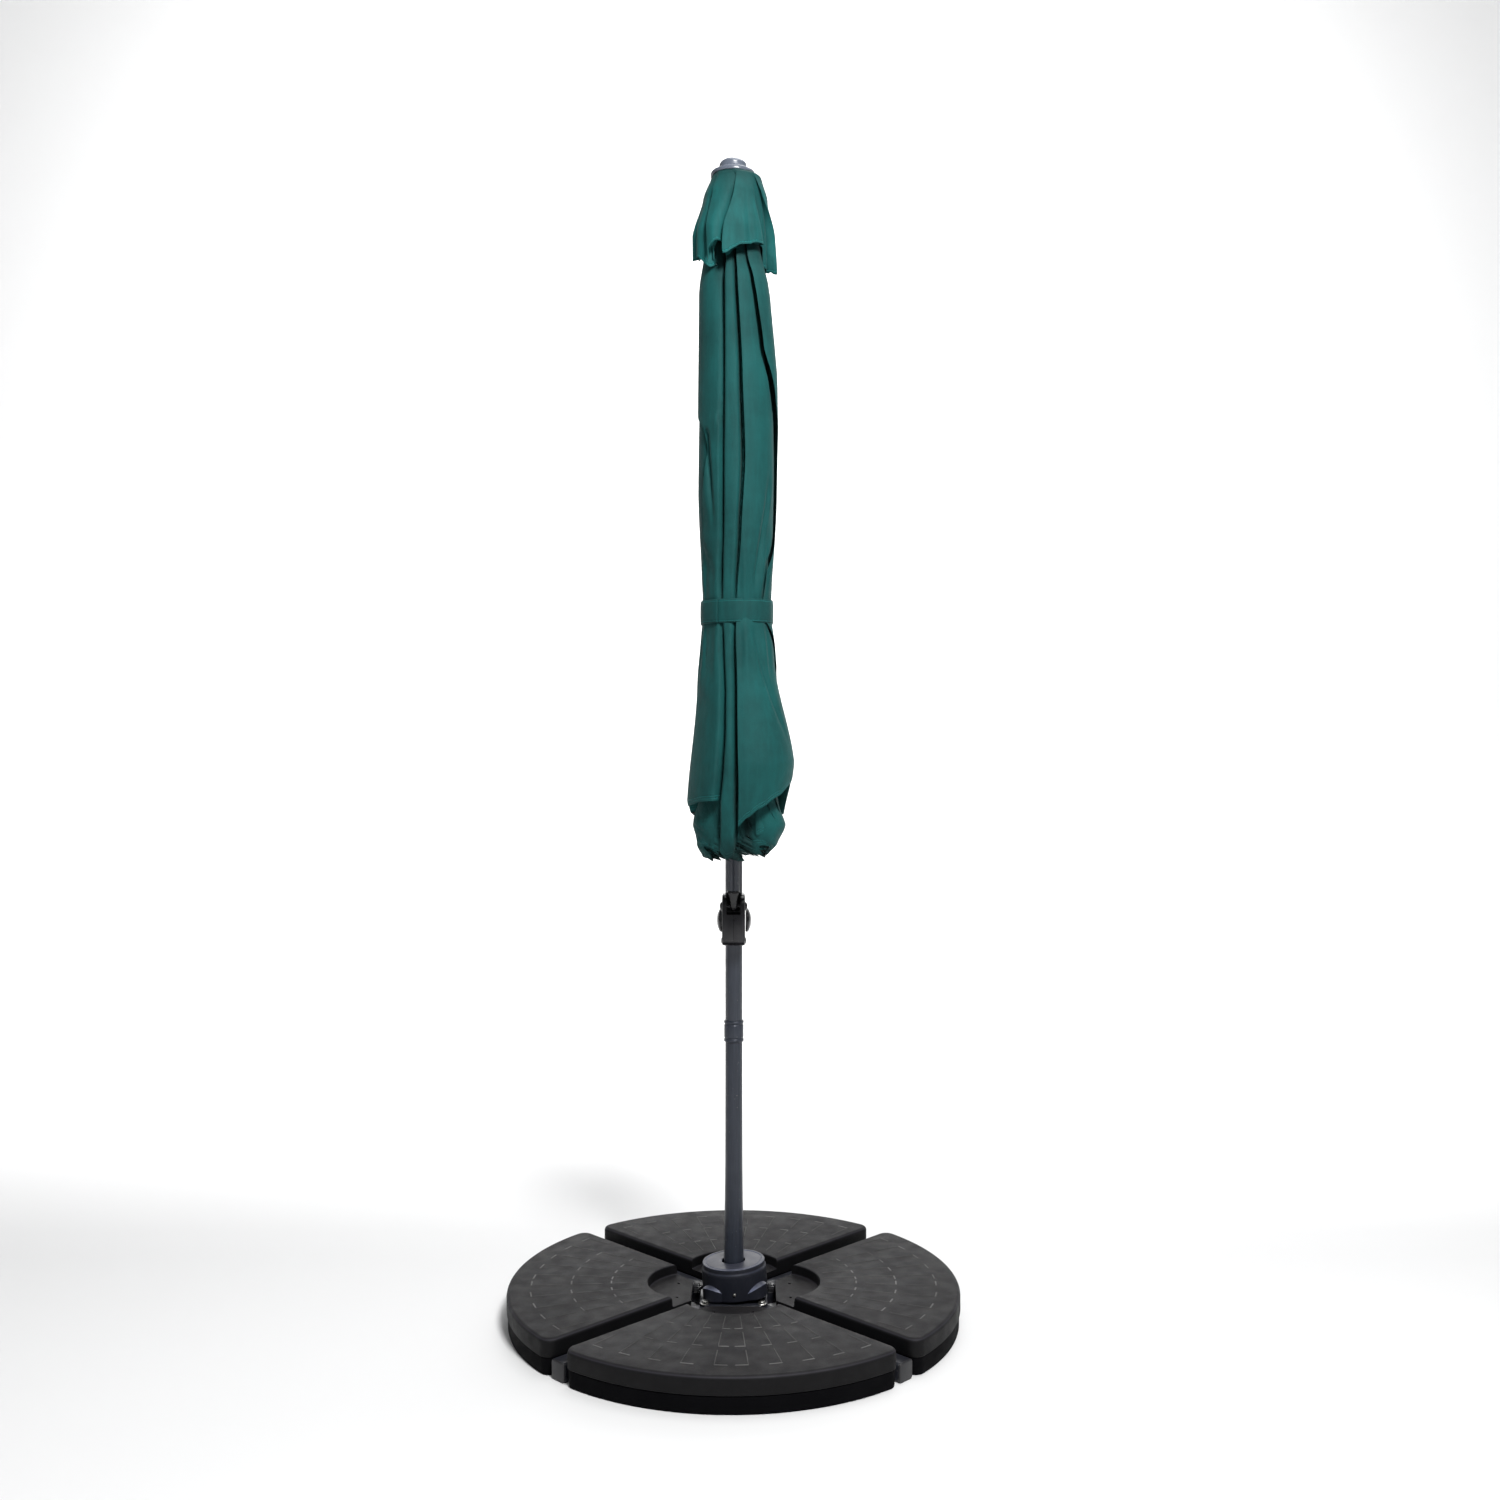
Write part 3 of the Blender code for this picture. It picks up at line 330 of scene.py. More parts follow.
# ---------- mesh helpers
def piece(name, bm, mat, body, replaces=(), sharp=40.0):
    """Makes the piece, shades it, and tells the frame what it rides on and stands for."""
    me = bpy.data.meshes.new(name)
    bm.to_mesh(me)
    bm.free()
    me.materials.append(M[mat])
    me.shade_smooth()
    me.set_sharp_from_angle(angle=math.radians(sharp))
    o = bpy.data.objects.new(name, me)
    bpy.context.collection.objects.link(o)
    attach(o, body)
    if replaces:
        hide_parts(*replaces)
    return o


def ring_rows(rows, closed=False, ring=True):
    """Faces between rows of points; each row is a closed ring unless ring is False."""
    bm = bmesh.new()
    vs = [[bm.verts.new(p) for p in row] for row in rows]
    pairs = list(zip(vs, vs[1:])) + ([(vs[-1], vs[0])] if closed else [])
    for a, b in pairs:
        n = len(a)
        for i in range(n if ring else n - 1):
            j = (i + 1) % n
            bm.faces.new((a[i], a[j], b[j], b[i]))
    return bm


def cap_ends(bm):
    open_edges = [e for e in bm.edges if e.is_boundary]
    bmesh.ops.holes_fill(bm, edges=open_edges, sides=0)
    bmesh.ops.recalc_face_normals(bm, faces=bm.faces)
    return bm


def turned(profile, n=72, closed=False):
    """A turned solid about Z from (r, z) points; an open profile gets flat ends."""
    rows = [[(r * math.cos(TAU * i / n), r * math.sin(TAU * i / n), z) for i in range(n)]
            for r, z in profile]
    bm = ring_rows(rows, closed)
    if not closed:
        cap_ends(bm)
    bmesh.ops.recalc_face_normals(bm, faces=bm.faces)
    return bm


def fillet(points, radius, steps=4):
    """Rounds the corners of an open profile of (r, z) points."""
    out = [points[0]]
    for a, b, c in zip(points, points[1:], points[2:]):
        a, b, c = Vector(a), Vector(b), Vector(c)
        u, v = (a - b), (c - b)
        cut = min(radius, u.length * 0.45, v.length * 0.45)
        p, q = b + u.normalized() * cut, b + v.normalized() * cut
        for i in range(steps + 1):
            s = i / steps
            out.append(tuple((p * (1 - s) + b * s) * (1 - s) + (b * (1 - s) + q * s) * s))
    out.append(points[-1])
    return out


def shift(bm, by=(0, 0, 0), turn=0.0, axis="Z"):
    m = Matrix.Translation(by) @ Matrix.Rotation(turn, 4, axis)
    bmesh.ops.transform(bm, matrix=m, verts=bm.verts)
    return bm


def to_x(bm, at, side=1):
    """Turns a solid made along +Z so that it points along +X or -X from the point at."""
    return shift(bm, at, math.radians(90 * side), "Y")


def cad_object(name):
    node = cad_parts[name]
    return node if hasattr(node, "data") else bpy.data.objects[name]


def softened(name, width, mat, body, steps=2):
    """A CAD part's own shape with rounded edges, in place of the part."""
    bm = bmesh.new()
    bm.from_mesh(cad_object(name).data)
    bmesh.ops.remove_doubles(bm, verts=bm.verts, dist=1e-6)
    bmesh.ops.dissolve_limit(bm, angle_limit=math.radians(1.0), verts=bm.verts, edges=bm.edges)
    edges = [e for e in bm.edges if len(e.link_faces) == 2 and e.calc_face_angle(0) > math.radians(28)]
    bmesh.ops.bevel(bm, geom=edges, offset=width, segments=steps, profile=0.6, affect="EDGES",
                    clamp_overlap=True, harden_normals=False)
    return piece(f"{name}_fine", bm, mat, body, (name,), 32)


def boolean(o, cutter_bm, how="DIFFERENCE"):
    """Cuts or joins at once and leaves no modifier behind."""
    me = bpy.data.meshes.new("cutter")
    bmesh.ops.recalc_face_normals(cutter_bm, faces=cutter_bm.faces)
    cutter_bm.to_mesh(me)
    cutter_bm.free()
    c = bpy.data.objects.new("cutter", me)
    bpy.context.collection.objects.link(c)
    m = o.modifiers.new("cut", "BOOLEAN")
    m.operation, m.object, m.solver = how, c, "EXACT"
    dg = bpy.context.evaluated_depsgraph_get()
    done = bpy.data.meshes.new_from_object(o.evaluated_get(dg))
    o.modifiers.clear()
    old, o.data = o.data, done
    bpy.data.meshes.remove(old)
    bpy.data.objects.remove(c, do_unlink=True)
    o.data.shade_smooth()
    o.data.set_sharp_from_angle(angle=math.radians(32))
    return o


# ---------- stage, light and camera
def studio_world():
    w = bpy.data.worlds.new("studio")
    bpy.context.scene.world = w
    w.use_nodes = True
    w.node_tree.nodes["Background"].inputs["Color"].default_value = (0.96, 0.98, 1.0, 1)
    w.node_tree.nodes["Background"].inputs["Strength"].default_value = 0.18
    bpy.context.scene.view_settings.view_transform = "Standard"


def floor():
    """A pale floor that curves up behind into a backdrop, which glows a little further back."""
    front, bend, radius, top, half = -9.0, 5.0, 3.0, 9.0, 11.0
    profile = [(front, 0.0), (bend, 0.0)]
    for i in range(1, 13):
        a = math.radians(90 * i / 12)
        profile.append((bend + radius * math.sin(a), radius - radius * math.cos(a)))
    profile.append((bend + radius, top))
    bm = ring_rows([[(x, y, z) for y, z in profile] for x in (-half, half)], ring=False)
    me = bpy.data.meshes.new("floor")
    bm.to_mesh(me)
    bm.free()
    me.shade_smooth()
    o = bpy.data.objects.new("floor", me)
    bpy.context.collection.objects.link(o)
    m, t, b = material("pale_floor", (0.76, 0.76, 0.76), 0.9)
    where = t.nodes.new("ShaderNodeSeparateXYZ")
    t.links.new(coords(t), where.inputs[0])
    far = math_node(t, "DIVIDE", math_node(t, "SUBTRACT", where.outputs["Y"], 0.55), 1.6, clamp=True)
    b.inputs["Emission Color"].default_value = (1, 1, 1, 1)
    t.links.new(math_node(t, "MULTIPLY", far, 0.28), b.inputs["Emission Strength"])
    me.materials.append(m)


def lights():
    for name, at, aim, size, power in (("key", (1.1, -3.1, 4.2), (0, 0, 1.2), 1.0, 285),
                                       ("fill", (-3.6, -2.0, 2.6), (0, 0, 1.2), 2.5, 10),
                                       ("top", (0.8, 1.0, 5.4), (0, 0, 1.0), 2.5, 80),
                                       ("back", (0.0, 3.4, 5.0), (0, 8.0, 2.2), 6.5, 560)):
        light = bpy.data.lights.new(name, "AREA")
        light.energy = power
        light.size = size
        o = bpy.data.objects.new(name, light)
        o.location = at
        o.rotation_euler = (Vector(aim) - Vector(at)).to_track_quat("-Z", "Y").to_euler()
        bpy.context.collection.objects.link(o)


def camera():
    cam = bpy.data.cameras.new("camera")
    cam.lens = 34.87
    cam.sensor_width = 36.0
    o = bpy.data.objects.new("camera", cam)
    o.location = (0.036, -3.24, 1.257)
    o.rotation_euler = (math.radians(90), 0, 0)
    bpy.context.collection.objects.link(o)
    bpy.context.scene.camera = o


# ---------- furled cloth
def ease(s):
    s = np.clip(s, 0.0, 1.0)
    return s * s * (3 - 2 * s)


def through(points, x):
    """A soft curve through (x, y) points, flat past its ends."""
    xs, ys = np.array(points, float).T
    i = np.clip(np.searchsorted(xs, x, side="right") - 1, 0, len(xs) - 2)
    s = np.clip((x - xs[i]) / (xs[i + 1] - xs[i]), 0.0, 1.0)
    return ys[i] + (ys[i + 1] - ys[i]) * (0.5 * ease(s) + 0.5 * s)


def near(x, at, width):
    return np.exp(-((x - at) / width) ** 2)


def round_deg(a):
    """Angles as degrees either way of the right-hand side, from -180 to 180."""
    return (np.degrees(a) + 180) % 360 - 180


def sheet_mesh(name, grid, uvs, mat, replaced, closed=True):
    """One smooth open sheet from a grid of points, rows x columns x 3."""
    rows, width = grid.shape[:2]
    i, j = np.meshgrid(np.arange(width if closed else width - 1), np.arange(rows - 1))
    a, n = j * width + i, j * width + (i + 1) % width
    faces = np.stack([a, n, n + width, a + width], -1).reshape(-1, 4)
    me = bpy.data.meshes.new(name)
    me.from_pydata(grid.reshape(-1, 3).tolist(), [], faces.tolist())
    me.uv_layers.new(name="cloth").data.foreach_set("uv", uvs.reshape(-1, 2)[faces.ravel()].ravel())
    bm = bmesh.new()
    bm.from_mesh(me)
    bpy.data.meshes.remove(me)
    bmesh.ops.remove_doubles(bm, verts=bm.verts, dist=2e-5)
    o = piece(name, bm, mat, "canopy", replaced, 180)
    return o


class Furl:
    """A sheet of eight panels, furled. Every panel folds on its middle into a double flap that wraps
    round the bundle anticlockwise from its fold; flaps never cross, as folds and seams keep their order.
    t runs from a seam (0) to a fold (1), and rho is the distance from the crown on the flat cloth."""

    power, full_wrap, pull_from, crease = 1.6, 1.0, 0.62, 0.40

    def __init__(self, start, end, top, cols, rows, outside):
        self.start, self.end, self.top, self.rows = start, end, top, rows
        first = int(cols * 0.45)
        hidden = np.linspace(0, 1, first + 1) ** 1.3 * (1 - outside)
        shown = 1 - outside + outside * (1 - (1 - np.linspace(0, 1, cols - first + 1)) ** 1.35)
        self.ts = np.concatenate([hidden, shown[1:]])

    def fall(self, rho):
        return self.top - rho

    def level(self, k, a, t, z):
        """How far out the cloth lies between core and outside. A flap stands off until the next one
        covers it; from there it lies close round the core, which leaves a deep crease."""
        tight = 1 - (1 - t) ** self.power
        after = self.tip((k + 1) % 8, z) + (TAU if k == 7 else 0.0)
        shown = ease((after + 0.05 - a) / 0.17)
        loose = self.loose(z)
        return tight * (1 - loose * (1 - shown) * self.crease)

    def place(self, k, side, t, rho, z):
        """Angle and radius on one side of flap k, and the angle of its fold."""
        r0, r1 = self.r_in(z), self.r_out(z)
        turn = rho * HALF_PANEL / (0.42 * r0 + 0.58 * r1)
        w = np.sqrt(np.maximum(0.0, turn ** 2 - (math.pi / 8) ** 2)) * self.full_wrap
        tip = self.tip(k, z)
        seam = -math.pi + (k - side) * math.pi / 4 + math.pi / 8 + w
        a = tip + (seam - tip) * (1 - t)
        r = r0 + (r1 - r0) * self.level(k, a, t, z)
        if side:
            room = (r1 - r0) * (math.pi / 4 / (w + 0.4)) ** self.power
            edge = np.clip((1 - t) * np.abs(seam - tip) * r1 / 0.006, 0, 1)
            r = r - 0.40 * room * np.sqrt(edge) * np.minimum(1.0, np.minimum(w / 0.5, t / 0.05))
        return a, r, tip

    def build(self, name, mat, replaced):
        cos0 = math.cos(HALF_PANEL)
        v = np.linspace(0, 1, self.rows + 1)[:, None]
        rib = self.start + (self.end - self.start) * v
        parts, uvs = [], []
        for k in range(7, -1, -1):
            for side in (0, 1):
                t = self.ts[None, :] if side == 0 else self.ts[None, -2::-1]
                phi = HALF_PANEL * (1 - t)
                rho = rib * cos0 / np.cos(phi)
                z = self.fall(rho)
                a, r, tip = self.place(k, side, t, rho, z)
                pull = ease((v - self.pull_from) / (1 - self.pull_from)) ** 1.3
                z_hem = self.fall(self.end * cos0 / np.cos(phi))
                z = z + (self.hem(k, side, a, t, tip) - z_hem) * pull
                a, r, tip = self.place(k, side, t, rho, z)
                parts.append(np.stack(self.warp(a, r, z), -1))
                across = np.tan(phi) * rib * cos0 * (1 if side else -1)
                uvs.append(np.stack([across, rib * cos0 + 0 * across], -1))
        grid, uv = np.concatenate(parts, 1), np.concatenate(uvs, 1)
        return sheet_mesh(name, grid, uv, mat, replaced)


# Left and right edge of the bundle, seen from the front, by height
LEFT_EDGE = [(1.02, -0.058), (1.15, -0.098), (1.38, -0.077), (1.55, -0.064), (1.80, -0.076), (2.22, -0.073),
             (2.42, -0.046)]
RIGHT_EDGE = [(1.02, 0.060), (1.10, 0.111), (1.23, 0.137), (1.44, 0.092), (1.55, 0.082), (1.78, 0.095),
              (2.05, 0.099), (2.20, 0.090), (2.42, 0.055)]
# Where the second and third folds run down the front, by height
SECOND = [(1.02, -0.031), (1.08, -0.032), (1.15, -0.0317), (1.22, -0.0255), (1.30, -0.0198), (1.38, -0.0177),
          (1.48, -0.0208), (1.53, -0.0225), (1.60, -0.0250), (1.75, -0.0225), (2.30, -0.0205)]
THIRD = [(1.02, 0.0100), (1.18, 0.0133), (1.38, 0.0100), (1.50, 0.0065), (1.58, 0.0094), (1.70, 0.0175),
         (1.86, 0.0258), (2.04, 0.0209), (2.30, 0.0080)]


def middle(z):
    return through(RIGHT_EDGE, z) / 2 + through(LEFT_EDGE, z) / 2


def bundle(z):
    return through(RIGHT_EDGE, z) / 2 - through(LEFT_EDGE, z) / 2


def at_front(x, z):
    """The angle round the bundle at which its front face stands at x."""
    return -np.arccos(np.clip((x - middle(z)) / bundle(z), -1.0, 1.0))


def fold(k, z):
    """The angle of each flap's folded edge."""
    waver = np.radians(2.0 * np.sin(6.0 * z + 1.9 * k) + 1.2 * np.sin(15.0 * z + 2.3 * k))
    if k == 0:
        return np.radians(through([(1.02, -176), (1.55, -176), (1.62, -168), (1.75, -152), (1.88, -141),
                                   (1.925, -146), (1.96, -170), (2.3, -176)], z)) + 0.3 * waver
    if k == 1:
        return at_front(through(SECOND, z), z) + 0.15 * waver
    if k == 2:
        return at_front(through(THIRD, z), z) + 0.15 * waver
    if k == 3:
        return np.radians(through([(1.02, 20), (1.40, 16), (1.47, -8), (1.55, -46), (1.62, -40), (1.74, -2),
                                   (1.90, 2), (1.99, -28), (2.09, -52), (2.29, -66)], z)) + 0.4 * waver
    return math.radians((38, 76, 114, 150)[k - 4]) + waver


class Canopy(Furl):
    full_wrap = 0.90

    def r_in(self, z):
        return through([(1.02, 0.058), (1.07, 0.066), (1.11, 0.057), (1.16, 0.050), (1.30, 0.042),
                        (1.5, 0.038), (2.3, 0.038), (2.42, 0.036)], z)

    def r_out(self, z):
        return bundle(z)

    def tip(self, k, z):
        return fold(k, z)

    def loose(self, z):
        return through([(1.02, 1.5), (1.20, 1.3), (1.36, 0.95), (1.50, 0.30), (WAIST_Z, 0.05),
                        (1.62, 0.45), (1.75, 0.80), (2.2, 0.80), (2.35, 0.40), (2.45, 0.0)], z)

    def hem(self, k, side, a, t, tip):
        """Low at the seams where the ribs end, tucked up inside, and set by each flap outside."""
        d = round_deg(a)
        past_fold = np.degrees(a - tip)
        tips = {0: [(0, 1.138), (20, 1.143), (40, 1.150), (60, 1.153), (75, 1.19)],
                1: [(0, 1.050), (12, 1.030), (24, 1.036), (30, 1.10), (34, 1.19), (50, 1.19),
                    (55, 1.078), (70, 1.090), (90, 1.110), (107, 1.135), (130, 1.19)],
                2: [(0, 1.100), (10, 1.118), (24, 1.137), (45, 1.160), (70, 1.185), (90, 1.205), (110, 1.22)],
                3: [(0, 1.12), (45, 1.10), (80, 1.16)],
                7: [(0, 1.115), (30, 1.127), (60, 1.108), (88, 1.090), (100, 1.14)]}
        out = through(tips.get(k, [(0, 1.085), (30, 1.070), (60, 1.080)]), past_fold)
        low = 1.060
        for at, wide, deep in ((-142, 20, 0.036), (-93, 10, 0.022), (-48, 9, 0.030), (-18, 14, 0.024),
                               (40, 24, 0.02), (95, 24, 0.025), (150, 22, 0.03)):
            low = low - deep * near(d, at, wide)
        seam = ease((0.58 - t) / 0.08)
        return out * (1 - seam) + low * seam

    def relief(self, a, r, z):
        """Scales the radius: deep creases beside the front folds, gathers at the strap, wrinkles."""
        d = round_deg(a)
        away = 1 - near(z, WAIST_Z, 0.045)
        left, right = round_deg(fold(1, z)), round_deg(fold(2, z))
        f = 1 - 0.060 * ease((d - left + 7) / 7) * (d < right - 0.3) * (0.3 + 0.7 * away)
        f -= 0.130 * near(d, left - 1.5, 3.0) * (0.25 + 0.75 * away)
        f -= 0.190 * np.where(d < right - 0.3, near(d, right - 0.3, 5.0), 0.0) * (0.25 + 0.75 * away)
        side = through([(1.025, 0.08), (1.06, 0.27), (1.10, 0.48), (1.15, 0.25), (1.20, 0.0)], z)
        f += side * np.cos(a) ** 2 * ease((0.078 - r) / 0.012)
        swell = np.where(d > right, np.sin(np.radians(np.clip((d - right) * 2.0, 0, 180))), 0.0)
        f += 0.030 * swell * away
        f += 0.016 * np.sin(2 * a + 2.4 * z + 0.4) * away + 0.012 * np.sin(3 * a - 5.0 * z + 1.0) * away
        f += 0.010 * np.sin(7 * a + 3.0 * z) * away * (0.5 + 0.5 * np.sin(4.0 * z + a))
        f -= 0.150 * near(d, -85, 62) * ease((z - 2.235) / 0.05) * ease((2.42 - z) / 0.05)
        f -= 0.300 * near(d, -70, 13) * ease((1.15 - z) / 0.04) * ease((0.080 - r) / 0.012)
        waist = near(z, 1.60, 0.07) + near(z, 1.49, 0.07)
        f += 0.024 * waist * away * np.sin(13 * a + 1.3 * np.sin(9 * a) + 4.0 * z)
        rows = near(z, 1.70, 0.13) + 0.8 * near(z, 1.42, 0.07)
        notch = near(d, -141 + (1.911 - z) * 62, 4.5)
        f -= 0.11 * notch * ease((1.925 - z) / 0.012) * ease((z - 1.70) / 0.12)
        ripple = np.sin(62 * z + 3.5 * a) * (0.6 + 0.4 * np.sin(23 * z + 2 * a))
        f += 0.034 * near(d, -143, 22) * rows * ripple
        f += 0.030 * near(d, -38, 22) * near(z, 1.70, 0.12) * np.sin(34 * z - 5.0 * a)
        line = -58 + (z - 1.62) * 95
        f -= 0.075 * near(d, line, 5.0) * ease((1.86 - z) / 0.12) * ease((z - 1.58) / 0.05)
        line = -62 - (z - 1.50) * 150
        f -= 0.070 * near(d, line, 4.5) * ease((z - 1.26) / 0.10) * ease((1.52 - z) / 0.03)
        return f + 0.006 * near(d, -100, 60) * np.sin(7 * a + 11 * z)

    def warp(self, a, r, z):
        f = self.relief(a, r, z)
        x, y = r * f * np.cos(a), r * f * np.sin(a)
        x = x + middle(z) * ease((r - 0.030) / 0.045)
        back = 0.0805
        y = np.where(y > back, back + 0.012 * np.tanh((y - back) / 0.012), y)
        return x, AXIS_Y + y, z


def canopy():
    furl = Canopy(start=0.10, end=RIB, top=CLOTH_TOP, cols=90, rows=190, outside=0.28)
    o = furl.build("canopy_sheet", "cloth", ("canopy_cloth",))


class Flap(Furl):
    power, pull_from, crease = 1.3, 0.55, 0.75
    left_edge = [(2.26, -0.086), (2.34, -0.086), (2.42, -0.063), (2.4685, -0.044)]
    right_edge = [(2.26, 0.093), (2.34, 0.088), (2.42, 0.074), (2.46, 0.062), (2.4685, 0.050)]

    def fall(self, rho):
        first = self.start * math.cos(HALF_PANEL)
        return self.top - 0.190 * (np.maximum(rho - first, 0.0) / (self.end - first)) ** 1.2

    def r_out(self, z):
        return through(self.right_edge, z) / 2 - through(self.left_edge, z) / 2

    def r_in(self, z):
        return self.r_out(z) - through([(2.26, 0.024), (2.34, 0.018), (2.42, 0.008), (2.46, 0.0015)], z)

    def loose(self, z):
        return ease((2.445 - z) / 0.10)

    def tip(self, k, z):
        s = ease((FLAP_TOP - z) / 0.16)
        start = (-180, -135, -90, -45, 0, 45, 90, 135)[k]
        end = (-176, -127, -105, -4, 32, 66, 104, 148)[k]
        return np.radians(start * (1 - s) + end * s) + 0.03 * np.sin(20 * z + 2 * k)

    def hem(self, k, side, a, t, tip):
        d = round_deg(a)
        wave = through([(-180, 2.300), (-174, 2.286), (-150, 2.284), (-133, 2.256), (-127.5, 2.262),
                        (-126, 2.292), (-113, 2.309), (-106, 2.304), (-104.5, 2.278), (-100, 2.279),
                        (-90, 2.290), (-80, 2.298), (-50, 2.304),
                        (-24, 2.308), (-18, 2.268), (0, 2.262), (40, 2.282), (80, 2.270), (110, 2.295),
                        (150, 2.305), (180, 2.300)], d)
        return wave + 0.004 * ease((0.7 - t) / 0.2)

    def warp(self, a, r, z):
        d = round_deg(a)
        low = ease((2.44 - z) / 0.14)
        tips = [round_deg(self.tip(k, z)) for k in (1, 2)]
        f = 1 + 0.015 * np.sin(3 * a + 9 * z) + 0.012 * low * np.sin(6 * a + 1.0 + 8 * z)
        f -= 0.13 * ease((2.455 - z) / 0.06) * np.where(d < tips[0], near(d, tips[0], 9), 0)
        f -= 0.12 * ease((2.455 - z) / 0.06) * np.where(d < tips[1], near(d, tips[1], 8), 0)
        line = -28 - (z - 2.30) * 185
        f -= 0.16 * ease((2.45 - z) / 0.08) * np.where(d > line, near(d, line, 11), near(d, line, 2.5))
        f += 0.030 * low * near(d, -66, 20) + 0.035 * low * near(d, -150, 10) + 0.03 * low * near(d, -118, 8)
        f -= 0.030 * low * near(d, -90, 9)
        f -= 0.090 * low * near(d, -163, 6)
        f -= 0.070 * low * near(d, -62 - (z - 2.28) * 60, 5)
        x, y = r * f * np.cos(a), r * f * np.sin(a)
        x = x + through(self.right_edge, z) / 2 + through(self.left_edge, z) / 2
        y = np.minimum(y, 0.0925 - 0.001 * np.sin(40 * z))
        return x, AXIS_Y + y, z


def vent_flap():
    furl = Flap(start=0.050, end=0.278, top=FLAP_TOP, cols=60, rows=80, outside=0.6)
    o = furl.build("vent_flap_sheet", "flap", ("vent_flap",))


def strap():
    """A flat band round the waist; its start lies over its end at the front left."""
    u, v = np.meshgrid(np.linspace(0, 1, 201), np.linspace(0, 1, 13))
    turns = TAU * STRAP_OVERLAP
    a = math.radians(-121) - turns * u
    z = STRAP_LOW + (STRAP_HIGH - STRAP_LOW) * v + 0.0016 * np.sin(a + 0.7)
    stand_off = 0.0012 + 0.0036 * (1 - u) + 0.0006 * np.sin(11 * a) - 0.0010 * np.abs(2 * v - 1) ** 3
    r = bundle(WAIST_Z) + stand_off
    grid = np.stack([r * np.cos(a) + middle(WAIST_Z), AXIS_Y + r * np.sin(a), z], -1)
    uv = np.stack([turns * u * STRAP_R, (STRAP_HIGH - STRAP_LOW) * v], -1)
    o = sheet_mesh("strap_band", grid, uv, "strap", ("canopy_strap",), closed=False)
    s = o.modifiers.new("thick", "SOLIDIFY")
    s.thickness = 0.0009
    s.offset = 0


# ---------- weights
def fan(inset, n_arc=60, n_corner=9):
    """Outline of the front weight seen from above, drawn in by inset."""
    R, g, rc = WEIGHT_R - inset, WEIGHT_GAP + inset, WEIGHT_CORNER - inset
    c45 = math.sqrt(0.5)
    u, nrm = Vector((c45, -c45)), Vector((-c45, -c45))
    d = g + rc
    centre = u * math.sqrt((R - rc) ** 2 - d * d) + nrm * d
    right = [Vector((WEIGHT_APEX + inset - g * math.sqrt(2), -(WEIGHT_APEX + inset)))]
    a0, a1 = math.atan2(-nrm.y, -nrm.x), math.atan2(centre.y, centre.x)
    for i in range(n_corner):
        a = a0 + (a1 - a0) * i / (n_corner - 1)
        right.append(centre + Vector((math.cos(a), math.sin(a))) * rc)
    left = [Vector((-p.x, p.y)) for p in reversed(right)]
    s = math.atan2(right[-1].x, -right[-1].y)
    arc = [Vector((R * math.sin(s - 2 * s * i / n_arc), -R * math.cos(s - 2 * s * i / n_arc)))
           for i in range(1, n_arc)]
    return right + arc + left


def fan_solid(sections):
    rows = [[(p.x, p.y, z) for p in fan(i)] for i, z in sections]
    return cap_ends(ring_rows(rows))


def tile_marks(ticks):
    """Three rings of raised L marks: their short ticks at the outer end, or their radial ridges."""
    bm = bmesh.new()
    for r0, r1, count in ((0.205, 0.272, 10), (0.292, 0.360, 10), (0.380, 0.448, 10)):
        for i in range(count):
            a = math.radians(-38 + 76 * i / (count - 1))
            out = Vector((math.sin(a), -math.cos(a)))
            side = Vector((math.cos(a), math.sin(a))) * (1 if a > 0 else -1)
            if abs(a) > math.atan2(1, 1) - (WEIGHT_GAP + 0.016) / r0:
                continue
            tick = r1 * math.radians(3.2)
            if ticks:
                ridge(bm, out * r1, out * r1 - side * tick, 0.0013)
            else:
                ridge(bm, out * r0, out * (r1 - 0.0035), 0.0008)
    return bm


def ridge(bm, p, q, half):
    """A low ridge with sloping sides on the weight's top, from p to q."""
    d = (q - p).normalized()
    n = Vector((-d.y, d.x))
    rows = []
    for w, e, z in ((half * 1.7, half * 0.8, WEIGHT_H - 0.0003), (half * 0.7, 0.0, WEIGHT_H + 0.0006)):
        a, b = p - d * e, q + d * e
        rows.append([bm.verts.new((c.x, c.y, z)) for c in (a + n * w, b + n * w, b - n * w, a - n * w)])
    for i in range(4):
        j = (i + 1) % 4
        bm.faces.new((rows[0][i], rows[0][j], rows[1][j], rows[1][i]))
    bm.faces.new(rows[1])
    bm.faces.new(rows[0][::-1])


